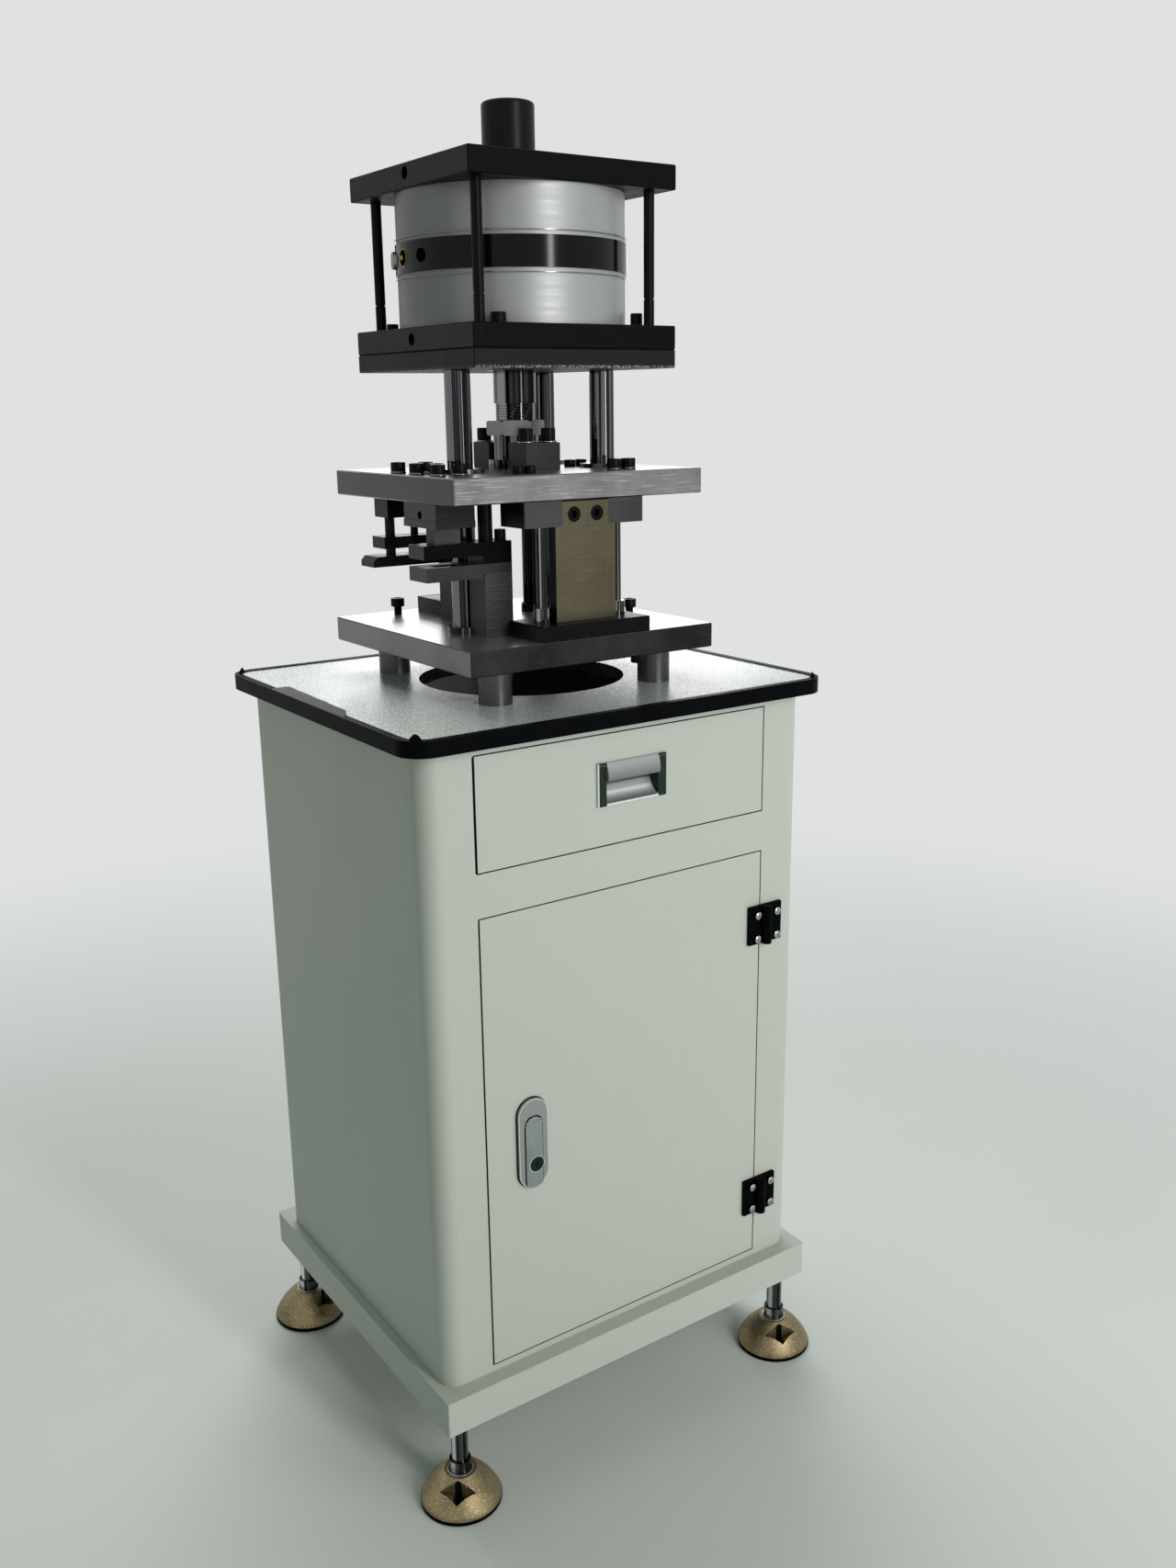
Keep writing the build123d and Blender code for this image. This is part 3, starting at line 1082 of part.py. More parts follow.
def lock_housing():
    """Stadium plate with the lever's recess, its pivot pocket and the barrel's bore."""
    housing = lock_outline(LOCK_PLATE_T) + lock_body(FACE_Y, FACE_Y + LOCK_BODY_T)
    half = LEVER_L / 2 + LEVER_GAP
    housing -= block(LOCK_X - half, LOCK_X + half, FACE_Y - LOCK_PLATE_T, LEVER_BACK_Y,
                     LOCK_Z - LOCK_H / 2, LEVER_TOP_Z + LEVER_TOP_GAP)
    pocket_back = LEVER_BACK_Y + LEVER_PIVOT_DROP + LEVER_GAP
    housing -= block(LOCK_X - half, LOCK_X + half, LEVER_BACK_Y, pocket_back,
                     LEVER_PIVOT_Z - LEVER_T, LEVER_TOP_Z + LEVER_TOP_GAP)
    housing += lever_pin(LEVER_PIN_R)
    return housing - bar_y(BARREL_X, BARREL_Z, FACE_Y - LOCK_PLATE_T, DOOR_BACK_Y, BARREL_R + RUN)


def lock_outline(depth):
    """Stadium prism in front of the door."""
    outline = Plane.XZ * SlotOverall(LOCK_H, LOCK_L, rotation=90)
    return Pos(LOCK_X, FACE_Y, LOCK_Z) * extrude(outline, depth)


def lever_pin(radius):
    """Cross pin of the flip lever, held in the plate at both ends."""
    half = LEVER_L / 2 + LEVER_PIN_SEAT
    return bar_x(LEVER_PIVOT_Y, LEVER_PIVOT_Z, LOCK_X - half, LOCK_X + half, radius)


def lock_lever():
    """Flip lever with an arched top, bored for its cross pin and for the key barrel."""
    arch_z = LEVER_TOP_Z - LEVER_L / 2
    arch = bar_y(LOCK_X, arch_z, LEVER_BACK_Y - LEVER_T, LEVER_BACK_Y, LEVER_L / 2)
    lower = block(LOCK_X - LEVER_L / 2, LOCK_X + LEVER_L / 2, LEVER_BACK_Y - LEVER_T, LEVER_BACK_Y,
                  LOCK_Z - LOCK_H / 2, arch_z)
    lever = ((lower + arch) & lock_outline(LOCK_L)) - lever_pin(LEVER_PIN_R + RUN)
    return lever - bar_y(BARREL_X, BARREL_Z, LEVER_BACK_Y - LEVER_T, LEVER_BACK_Y, BARREL_R + BARREL_HOLE_GAP)


def lock_barrel():
    """Key barrel through the plate with a keyway in its face, and the cam that it turns."""
    front = LEVER_BACK_Y - LEVER_T
    barrel = bar_y(BARREL_X, BARREL_Z, front, DOOR_BACK_Y + CAM_BEHIND, BARREL_R)
    keyway = block(BARREL_X - KEYWAY_W / 2, BARREL_X + KEYWAY_W / 2, front, front + BARREL_R,
                   BARREL_Z - BARREL_R / 2, BARREL_Z + BARREL_R / 2)
    return group([barrel - keyway, lock_cam()])


def lock_cam():
    """Cam behind the door, hanging in its released position."""
    y0 = DOOR_BACK_Y + CAM_BEHIND
    cam = block(BARREL_X - CAM_W / 2, BARREL_X + CAM_W / 2, y0, y0 + CAM_T, BARREL_Z - CAM_L, BARREL_Z)
    return cam + bar_y(BARREL_X, BARREL_Z, y0, y0 + CAM_T, CAM_W / 2)


NODES = {
    "plinth": plinth,
    "cabinet_shell": cabinet_shell,
    "back_panel": back_panel,
    "top_gasket": top_gasket,
    "worktop": worktop,
    "edge_trim": edge_trim,
    "spacer_legs": spacer_legs,
    "lower_plate": lower_plate,
    "guide_columns": guide_columns,
    "mount_plate": mount_plate,
    "cylinder_base": cylinder_base,
    "rod_gland": rod_gland,
    "cylinder_tubes": cylinder_tubes,
    "divider_ring": divider_ring,
    "head_plate": head_plate,
    "tie_rods": tie_rods,
    "top_cap": top_cap,
    "frame_screws": frame_screws,
    "die_base": die_base,
    "guide_pins": guide_pins,
    "jaw_riser": jaw_riser,
    "lower_jaw": lower_jaw,
    "jaw_spacer": jaw_spacer,
    "upper_jaw": upper_jaw,
    "rear_riser": rear_riser,
    "rear_die_bar": rear_die_bar,
    "rear_guide_bar": rear_guide_bar,
    "drawer_runners": drawer_runners,
    "hinge_frame_leaves": hinge_frame_leaves,
    "piston_rod": piston_rod,
    "jam_nut": jam_nut,
    "rod_adaptor": rod_adaptor,
    "clamp_blocks": clamp_blocks,
    "press_screws": press_screws,
    "middle_plate": middle_plate,
    "guide_bushes": guide_bushes,
    "punch_shoe": punch_shoe,
    "punch_plate": punch_plate,
    "jaw_punch_holder": jaw_punch_holder,
    "jaw_punch": jaw_punch,
    "jaw_guide_post": jaw_guide_post,
    "rear_punch_holder": rear_punch_holder,
    "rear_punch": rear_punch,
    "drawer_front": drawer_front,
    "drawer_box": drawer_box,
    "drawer_pull": drawer_pull,
    "pull_caps": pull_caps,
    "door_panel": door_panel,
    "hinge_door_leaves": hinge_door_leaves,
    "lock_housing": lock_housing,
    "lock_lever": lock_lever,
    "lock_barrel": lock_barrel,
}

os.makedirs("parts", exist_ok=True)
for name, make in NODES.items():
    export_step(make(), f"parts/{name}.step")
for corner, (foot_x, foot_y) in FEET.items():
    export_step(foot_pad(foot_x, foot_y, PAD_TURNS[corner]), f"parts/foot_pad_{corner}.step")
    export_step(foot_stud(foot_x, foot_y), f"parts/foot_stud_{corner}.step")
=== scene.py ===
"""Looks of a hydraulic punching machine that stands on its steel cabinet."""

import json
import logging
import math
from dataclasses import dataclass, field, replace
from enum import Enum
from typing import Callable, ClassVar, Iterable, Sequence

import bmesh
import bpy
from mathutils import Euler, Matrix, Vector


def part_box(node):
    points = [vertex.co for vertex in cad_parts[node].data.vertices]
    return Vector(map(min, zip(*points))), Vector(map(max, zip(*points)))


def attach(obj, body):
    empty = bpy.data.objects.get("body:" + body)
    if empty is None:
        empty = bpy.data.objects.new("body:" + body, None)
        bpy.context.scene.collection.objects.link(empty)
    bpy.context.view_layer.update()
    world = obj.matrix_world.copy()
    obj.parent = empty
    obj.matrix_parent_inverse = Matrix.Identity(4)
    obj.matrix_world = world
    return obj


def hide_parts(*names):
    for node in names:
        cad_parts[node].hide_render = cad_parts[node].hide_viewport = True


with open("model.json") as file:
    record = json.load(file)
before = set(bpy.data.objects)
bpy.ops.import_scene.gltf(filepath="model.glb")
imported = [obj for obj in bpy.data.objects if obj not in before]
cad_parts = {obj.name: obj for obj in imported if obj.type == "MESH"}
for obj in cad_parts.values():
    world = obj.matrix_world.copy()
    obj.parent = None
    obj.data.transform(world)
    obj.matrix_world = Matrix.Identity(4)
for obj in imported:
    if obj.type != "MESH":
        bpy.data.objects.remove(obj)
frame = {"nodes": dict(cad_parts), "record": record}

log = logging.getLogger("punching_machine")

MM = 0.001
Triple = tuple[float, float, float]
Points = Sequence[tuple[float, float]]
Corners = Sequence[bmesh.types.BMVert]
ORIGIN = Vector((0.0, 0.0, 0.0))
# Turns a flat shape upright, so that its top looks to the machine's front.
UPRIGHT = Matrix.Rotation(math.pi / 2, 4, "X")

UP = (0.0, 0.0, 1.0)
LEFT = (-1.0, 0.0, 0.0)
FRONT = (0.0, -1.0, 0.0)
# Direction that the left third of every upright bar and tube faces, where tubes get their painted shade and
# bars their painted highlight stripe.
LEFT_THIRD = (-0.97, 0.24, 0.0)
# Sockets of the Mix node when it mixes colours.
MIX_LOW, MIX_HIGH, MIX_RESULT = 6, 7, 2

# Corners nearer than this, in metres, are one corner.
WELD = 1e-6
# Edges shorter than this, in metres, are dropped.
NO_LENGTH = 1e-7
# A profile's point with a smaller radius lies on the axis.
ON_AXIS = 1e-9
# Edges flatter than this angle, in degrees, are smooth.
SMOOTH_BELOW = 35.0


class Body(Enum):
    """Rigid groups of the machine that move as one."""

    FRAME = "frame"
    PRESS = "press"
    DRAWER = "drawer"
    DOOR = "door"
    LOCK = "lock"
    FOOT_FRONT_LEFT = "foot_front_left"
    FOOT_FRONT_RIGHT = "foot_front_right"
    FOOT_BACK_LEFT = "foot_back_left"
    FOOT_BACK_RIGHT = "foot_back_right"


class Corner(Enum):
    """Corners of the stand, each with its levelling foot."""

    FRONT_LEFT = "front_left"
    FRONT_RIGHT = "front_right"
    BACK_LEFT = "back_left"
    BACK_RIGHT = "back_right"


class Slot(Enum):
    """Material slots of the record."""

    CABINET_PAINT = "cabinet_paint"
    LAMINATE = "laminate"
    BLACK_EDGING = "black_edging"
    GROUND_STEEL = "ground_steel"
    BLACK_STEEL = "black_steel"
    BLACK_ANODISED = "black_anodised"
    CYLINDER_ALUMINIUM = "cylinder_aluminium"
    TOOL_STEEL = "tool_steel"
    HARD_CHROME = "hard_chrome"
    BLACK_PLASTIC = "black_plastic"
    ZINC_PLATED = "zinc_plated"
    SATIN_NICKEL = "satin_nickel"
    YELLOW_ZINC = "yellow_zinc"
    STUD_STEEL = "stud_steel"


def feed(target: bpy.types.NodeSocket, value: object) -> None:
    """Set or wire one input of a node.

    Args:
        target: The input.
        value: A number, a vector, a colour or another node's output.
    """
    if isinstance(value, bpy.types.NodeSocket):
        target.id_data.links.new(value, target)
    elif target.type == "RGBA":
        target.default_value = (*value, 1.0)
    else:
        target.default_value = value


def add_node(tree: bpy.types.NodeTree, kind: str, inputs: dict[int | str, object] | None = None,
             **settings: object) -> bpy.types.Node:
    """Add a node to a tree.

    Args:
        tree: The tree.
        kind: Type of the node.
        inputs: What each of its inputs is fed with.
        settings: Its own settings, made before the inputs are fed.

    Returns:
        The node.
    """
    node = tree.nodes.new(kind)
    for name, value in settings.items():
        setattr(node, name, value)
    for socket, value in (inputs or {}).items():
        feed(node.inputs[socket], value)
    return node


class NodeGraph:
    """Small helper that wires a procedural material."""

    def __init__(self, name: str) -> None:
        """Start a material with one surface shader.

        Args:
            name: Name of the material.
        """
        self.material = bpy.data.materials.new(name)
        self.material.use_nodes = True
        self.tree = self.material.node_tree
        self.tree.nodes.clear()
        self.surface = self.node("ShaderNodeBsdfPrincipled")
        self.output = self.node("ShaderNodeOutputMaterial", {"Surface": self.surface.outputs["BSDF"]})
        texture_space = self.node("ShaderNodeTexCoord")
        self.coordinates = texture_space.outputs["Object"]
        self.outward = texture_space.outputs["Normal"]

    def node(self, kind: str, inputs: dict[int | str, object] | None = None,
             **settings: object) -> bpy.types.Node:
        """Add a node to the material, as add_node does."""
        return add_node(self.tree, kind, inputs, **settings)

    def put(self, socket: str, value: object) -> None:
        """Set or wire one input of the surface shader.

        Args:
            socket: Name of the shader's input.
            value: A number, a colour or another node's output.
        """
        feed(self.surface.inputs[socket], value)

    def mapped(self, scale: Sequence[float] = (1, 1, 1),
               turn: Sequence[float] = (0, 0, 0)) -> bpy.types.NodeSocket:
        """Object coordinates, stretched along each axis and turned by degrees about each axis."""
        angles = [math.radians(angle) for angle in turn]
        inputs = {"Scale": scale, "Rotation": angles, "Vector": self.coordinates}
        return self.node("ShaderNodeMapping", inputs).outputs["Vector"]

    def facing(self, direction: Sequence[float]) -> bpy.types.NodeSocket:
        """Cosine between the surface's normal and a direction of length 1."""
        node = self.node("ShaderNodeVectorMath", {0: self.outward, 1: direction}, operation="DOT_PRODUCT")
        return node.outputs["Value"]

    def side(self, direction: Sequence[float]) -> bpy.types.NodeSocket:
        """One on faces that look along a direction, 0 on the others."""
        return self.ramp(self.facing(direction), (0.7, 0.0), (0.9, 1.0))

    def along(self, axis: str, low: float, high: float) -> bpy.types.NodeSocket:
        """Clamped place between two planes across an axis, 0 at the low one and 1 at the high one."""
        parts = self.node("ShaderNodeSeparateXYZ", {0: self.coordinates})
        place = {"Value": parts.outputs[axis], "From Min": low, "From Max": high}
        return self.node("ShaderNodeMapRange", place).outputs["Result"]

    def times(self, first: bpy.types.NodeSocket, second: bpy.types.NodeSocket) -> bpy.types.NodeSocket:
        """Product of two values."""
        return self.node("ShaderNodeMath", {0: first, 1: second}, operation="MULTIPLY").outputs["Value"]

    def noise(self, vector: bpy.types.NodeSocket, scale: float, detail: float = 4.0,
              roughness: float = 0.55) -> bpy.types.NodeSocket:
        """Fractal noise at a vector.

        Args:
            vector: Where the noise is read.
            scale: Features per metre.
            detail: Octaves.
            roughness: Weight of the finer octaves.

        Returns:
            The noise's factor.
        """
        inputs = {"Scale": scale, "Detail": detail, "Roughness": roughness, "Vector": vector}
        return self.node("ShaderNodeTexNoise", inputs).outputs["Fac"]

    def cells(self, vector: bpy.types.NodeSocket, scale: float) -> bpy.types.NodeSocket:
        """Distance field of a cellular pattern with so many cells per metre."""
        return self.node("ShaderNodeTexVoronoi", {"Scale": scale, "Vector": vector}).outputs["Distance"]

    def ramp(self, factor: bpy.types.NodeSocket, *stops: tuple[float, float]) -> bpy.types.NodeSocket:
        """Grey ramp from a factor, with stops of place and grey value."""
        node = self.node("ShaderNodeValToRGB", {"Fac": factor})
        elements = node.color_ramp.elements
        while len(elements) < len(stops):
            elements.new(0.5)
        for element, (place, level) in zip(elements, stops):
            element.position = place
            element.color = (level, level, level, 1.0)
        return node.outputs["Color"]

    def spread(self, factor: bpy.types.NodeSocket, low: float, high: float) -> bpy.types.NodeSocket:
        """Map a factor of 0 to 1 to a range."""
        node = self.node("ShaderNodeMapRange", {"Value": factor, "To Min": low, "To Max": high})
        return node.outputs["Result"]

    def blend(self, factor: bpy.types.NodeSocket, low: object, high: object) -> bpy.types.NodeSocket:
        """Blend two colours by a factor; each is a colour or a node's output."""
        node = self.node("ShaderNodeMix", {0: factor, MIX_LOW: low, MIX_HIGH: high}, data_type="RGBA")
        return node.outputs[MIX_RESULT]

    def shades(self, factor: bpy.types.NodeSocket, colour: Triple, low: float,
               high: float) -> bpy.types.NodeSocket:
        """Blend two shades of one colour by a factor."""
        return self.blend(factor, shade(colour, low), shade(colour, high))

    def roughen(self, factor: bpy.types.NodeSocket, low: float, high: float) -> None:
        """Let the roughness follow a factor between two values."""
        self.put("Roughness", self.spread(factor, low, high))

    def grain(self, scale: float, detail: float, depth: float, strength: float) -> None:
        """Pebble the surface with a plain noise."""
        self.put("Normal", self.bump(self.noise(self.mapped(), scale, detail), depth, strength))

    def bump(self, height: bpy.types.NodeSocket, depth: float, strength: float = 1.0,
             after: bpy.types.NodeSocket | None = None) -> bpy.types.NodeSocket:
        """Bump from a height.

        Args:
            height: Height from 0 to 1.
            depth: Depth in metres.
            strength: Weight of the bump.
            after: Another bump's normal.

        Returns:
            The bumped normal.
        """
        node = self.node("ShaderNodeBump", {"Strength": strength, "Distance": depth, "Height": height})
        if after is not None:
            feed(node.inputs["Normal"], after)
        return node.outputs["Normal"]


def shade(colour: Triple, factor: float) -> Triple:
    """Scale a colour's brightness.

    Args:
        colour: The colour.
        factor: Brightness factor.

    Returns:
        The scaled colour, clipped to 1.
    """
    return tuple(min(channel * factor, 1.0) for channel in colour)


def grey(level: float) -> Triple:
    """Neutral colour of one level, clipped to 1."""
    return (min(level, 1.0),) * 3


@dataclass(frozen=True)
class Finish:
    """One procedural finish; subclasses wire its detail."""

    name: str
    colour: Triple
    roughness: float
    metallic: float = 0.0
    shine: float = field(default=0.5, kw_only=True)

    def material(self) -> bpy.types.Material:
        """Material of this finish, made once."""
        title = f"finish_{self.name}"
        known = bpy.data.materials.get(title)
        if known is not None:
            return known
        graph = NodeGraph(title)
        graph.put("Base Color", self.colour)
        graph.put("Roughness", self.roughness)
        graph.put("Metallic", self.metallic)
        graph.put("Specular IOR Level", self.shine)
        self.detail(graph)
        return graph.material

    def detail(self, graph: NodeGraph) -> None:
        """Wire the finish's own detail into the graph."""


@dataclass(frozen=True)
class PowderCoat(Finish):
    """Powder coat with a fine peel and faint handling marks."""

    peel: float = 620.0
    depth: float = 0.00016
    clouds: ClassVar[float] = 3.0
    marks: ClassVar[float] = 26.0
    mark_stretch: ClassVar[Triple] = (1.0, 1.0, 0.25)

    def detail(self, graph: NodeGraph) -> None:
        """Fine orange peel, cloudy tone, rubbed streaks and a slightly uneven gloss."""
        cloud = graph.noise(graph.mapped(), self.clouds, 5.0)
        marks = graph.noise(graph.mapped(self.mark_stretch), self.marks, 6.0)
        peel = graph.noise(graph.mapped(), self.peel, 2.0)
        tone = graph.shades(cloud, self.colour, 0.965, 1.025)
        grained = graph.blend(graph.ramp(peel, (0.35, 0.0), (0.65, 0.3)), tone, shade(self.colour, 0.9))
        rubbed = graph.ramp(marks, (0.0, 0.0), (0.62, 0.0), (0.8, 0.3))
        graph.put("Base Color", graph.blend(rubbed, grained, shade(self.colour, 0.88)))
        graph.roughen(marks, self.roughness - 0.07, self.roughness + 0.08)
        graph.put("Normal", graph.bump(peel, self.depth, 0.6))


@dataclass(frozen=True)
class Laminate(Finish):
    """Pale laminate with a pebbled, glittering grain, and a painted shade over the front middle where the
    press shades it.
    """

    # Colour of the faces that don't look up: the board's dark core, darkened further as painted shade inside
    # the scrap hole.
    edge_core_and_shade: Triple = (0.05, 0.048, 0.045)
    speck_scale: ClassVar[float] = 380.0
    grain_scale: ClassVar[float] = 420.0
    grain_depth: ClassVar[float] = 0.00028
    # Span across, depth and level of the painted shade over the front middle of the top.
    shade_span_x: ClassVar[tuple[float, float]] = (-0.28, 0.28)
    shade_span_y: ClassVar[tuple[float, float]] = (-0.24, 0.1)
    shade_level: ClassVar[float] = 0.54

    def detail(self, graph: NodeGraph) -> None:
        """Bright and grey specks, pebbled grain, a painted shade over the front middle, and a cut edge
        darkened for the board's core and as painted shade inside the scrap hole.
        """
        specks = graph.cells(graph.mapped(), self.speck_scale)
        dark = graph.ramp(specks, (0.0, 1.0), (0.3, 1.0), (0.4, 0.0))
        cloud = graph.noise(graph.mapped(), 7.0, 6.0)
        tone = graph.shades(cloud, self.colour, 0.93, 1.03)
        # Painted shade: the top's front middle is darkened where the press shades it and is mirrored in it.
        across = graph.along("X", *self.shade_span_x)
        across = graph.ramp(across, (0.1, 0.0), (0.4, 1.0), (0.8, 1.0), (1.0, 0.0))
        shade_ahead = graph.ramp(graph.along("Y", *self.shade_span_y), (0.0, 1.0), (0.5, 0.8), (1.0, 0.0))
        shaded_front = graph.blend(graph.times(across, shade_ahead), tone, shade(self.colour, self.shade_level))
        # Faces that don't look up take that colour, partly as painted shade inside the scrap hole.
        up = graph.ramp(graph.facing(UP), (0.3, 0.0), (0.7, 1.0))
        specked = graph.blend(dark, shaded_front, shade(self.colour, 0.5))
        graph.put("Base Color", graph.blend(up, self.edge_core_and_shade, specked))
        graph.roughen(specks, self.roughness - 0.1, self.roughness + 0.16)
        graph.grain(self.grain_scale, 3.0, self.grain_depth, 0.8)


@dataclass(frozen=True)
class GroundSteel(Finish):
    """Surface-ground steel with straight grinding lines, stains and a few long scratches."""

    lines: Triple = (8.0, 900.0, 900.0)
    scratches: float = 0.5
    # Grey levels of the faces that look up and of the faces that look left: painted light and shade.
    top: float = 0.3
    left: float = 0.2
    stains: float = 0.28
    stain_scale: ClassVar[float] = 16.0
    cut_stretch: ClassVar[Triple] = (30.0, 30.0, 700.0)
    cut_turn: ClassVar[Triple] = (0.0, 42.0, 0.0)
    cut_depth: ClassVar[float] = 0.00012
    shadow_line_depth: ClassVar[float] = 0.00006

    def detail(self, graph: NodeGraph) -> None:
        """Grinding lines, crossing scratches and stains, with painted light and shade as grey levels on the
        faces that look up and on those that look left.
        """
        lines = graph.noise(graph.mapped(self.lines), 1.0, 3.0)
        stain = graph.noise(graph.mapped(), self.stain_scale, 7.0, 0.62)
        crossing = graph.noise(graph.mapped(self.cut_stretch, self.cut_turn), 1.0, 2.0)
        cuts = graph.ramp(crossing, (0.0, 0.0), (0.57, 0.0), (0.66, self.scratches))
        # Masks of the faces that get the painted light and shade levels.
        up = graph.side(UP)
        left = graph.side(LEFT)
        stained = graph.ramp(stain, (0.32, 0.0), (0.68, 1.0))
        tone = graph.shades(stained, self.colour, 1.0 - self.stains, 1.0 + self.stains)
        lined = graph.blend(graph.ramp(lines, (0.3, 0.0), (0.7, 0.45)), tone, shade(self.colour, 1.35))
        cut = graph.blend(cuts, lined, shade(self.colour, 1.8))
        painted_left_tone = graph.shades(graph.ramp(stain, (0.35, 0.0), (0.65, 1.0)), grey(self.left), 0.88, 1.12)
        with_painted_left = graph.blend(left, cut, painted_left_tone)
        with_painted_top = graph.shades(graph.ramp(stain, (0.3, 0.0), (0.7, 1.0)), grey(self.top), 0.9, 1.06)
        graph.put("Base Color", graph.blend(up, with_painted_left, with_painted_top))
        graph.roughen(stain, self.roughness - 0.08, self.roughness + 0.14)
        graph.put("Normal", graph.bump(cuts, self.cut_depth, 0.5, graph.bump(lines, self.shadow_line_depth, 0.6)))


@dataclass(frozen=True)
class PolishedBar(Finish):
    """Hard, drawn and polished bar whose bright and dark streaks along it are painted reflections."""

    reflection_streaks: float = 260.0
    dark: Triple = (0.05, 0.052, 0.055)
    share: float = 0.55
    painted_shade_from_y: float = 9.0
    lit_side: float = 0.0

    def detail(self, graph: NodeGraph) -> None:
        """Painted reflection streaks along the bar, a faint haze, a painted highlight stripe on its left, and
        painted shade on bars behind a plane.
        """
        # Bright and dark streaks paint the reflections of the surroundings.
        reflection_streaks = graph.noise(graph.mapped((self.reflection_streaks, self.reflection_streaks, 0.6)), 1.0, 1.0, 0.5)
        fine = graph.noise(graph.mapped((self.reflection_streaks * 3, self.reflection_streaks * 3, 1.0)), 1.0, 2.0)
        band = graph.ramp(reflection_streaks, (0.0, 0.0), (self.share - 0.05, 0.0), (self.share + 0.05, 1.0))
        tone = graph.blend(band, self.dark, self.colour)
        hazed = graph.blend(graph.ramp(fine, (0.5, 0.0), (0.75, 0.5)), tone, shade(self.colour, 0.8))
        # Painted shade: bars behind this plane along Y take the dark colour.
        in_painted_shade = graph.along("Y", self.painted_shade_from_y, self.painted_shade_from_y + MM)
        skin = graph.blend(in_painted_shade, hazed, self.dark)
        # Painted highlight stripe on the left third.
        if self.lit_side > 0.0:
            stripe = graph.ramp(graph.facing(LEFT_THIRD), (0.62, 0.0), (0.74, 1.0), (0.93, 1.0), (0.98, 0.2))
            skin = graph.blend(stripe, skin, grey(self.lit_side))
        graph.put("Base Color", skin)
        graph.roughen(fine, self.roughness * 0.8, self.roughness * 1.3)


@dataclass(frozen=True)
class TurnedMetal(Finish):
    """Turned or brushed metal with fine rings round the upright axis."""

    rings: float = 1400.0
    depth: float = 0.00004
    shaded: float = 1.0
    contrast: float = 0.5

    def detail(self, graph: NodeGraph) -> None:
        """Rings, a soft cloud and a shaded left third."""
        rings = graph.noise(graph.mapped((6, 6, self.rings)), 1.0, 3.0)
        cloud = graph.noise(graph.mapped(), 12.0, 5.0)
        tone = graph.shades(cloud, self.colour, 0.82, 1.08)
        crests = graph.ramp(rings, (0.3, 0.0), (0.75, self.contrast))
        ringed = graph.blend(crests, tone, shade(self.colour, 1.2))
        left = graph.ramp(graph.facing(LEFT_THIRD), (0.1, 0.0), (0.95, 1.0))
        graph.put("Base Color", graph.blend(left, ringed, shade(self.colour, self.shaded)))
        graph.roughen(rings, self.roughness * 0.75, self.roughness * 1.35)
        graph.put("Normal", graph.bump(rings, self.depth, 0.6))


@dataclass(frozen=True)
class PullPaintedLight(Finish):
    """Satin pull whose tone by height is painted light and shade: a pale lip, a painted shadow under it, a
    grey back and a painted highlight on the scoop.
    """

    low: float = 0.794
    high: float = 0.842
    brushing: ClassVar[Triple] = (6.0, 900.0, 900.0)

    def detail(self, graph: NodeGraph) -> None:
        """Painted light and shade by height, with a fine brushed grain along the pull."""
        height = graph.along("Z", self.low, self.high)
        # Painted light and shade by height: a highlight across the scoop and a shadow under the lip.
        tone = graph.ramp(height, (0.0, 0.3), (0.06, 0.2), (0.13, 0.42), (0.23, 0.9), (0.29, 0.4),
                          (0.4, 0.26), (0.43, 0.02), (0.585, 0.02), (0.6, 0.15), (0.75, 0.23), (0.97, 0.4))
        brushed = graph.noise(graph.mapped(self.brushing), 1.0, 2.0)
        skin = graph.blend(tone, shade(self.colour, 0.05), self.colour)
        graph.put("Base Color", graph.blend(graph.ramp(brushed, (0.35, 0.0), (0.65, 0.14)), skin, grey(0.12)))
        graph.roughen(brushed, self.roughness - 0.05, self.roughness + 0.08)


@dataclass(frozen=True)
class OxideBlack(Finish):
    """Black-oxide steel, oily, with brighter rubbed places."""

    wear: float = 0.25
    # Colour of the faces that look left: a painted light, lighter than the front.
    left: Triple = (0.04, 0.04, 0.041)
    rubbed: ClassVar[Triple] = (0.16, 0.155, 0.15)
    grain_scale: ClassVar[float] = 1500.0
    grain_depth: ClassVar[float] = 0.00003

    def detail(self, graph: NodeGraph) -> None:
        """Oil film in patches, fine grain, rubbed places and a painted light on the faces that look left."""
        film = graph.noise(graph.mapped(), 42.0, 6.0)
        # Faces that look left take the painted light colour.
        side = graph.side(LEFT)
        patches = graph.noise(graph.mapped(), 90.0, 8.0, 0.7)
        rub = graph.ramp(patches, (0.0, 0.0), (0.6, 0.0), (0.8, self.wear))
        skin = graph.blend(side, self.colour, self.left)
        graph.put("Base Color", graph.blend(rub, skin, self.rubbed))
        graph.roughen(film, self.roughness - 0.12, self.roughness + 0.18)
        graph.grain(self.grain_scale, 2.0, self.grain_depth, 0.6)


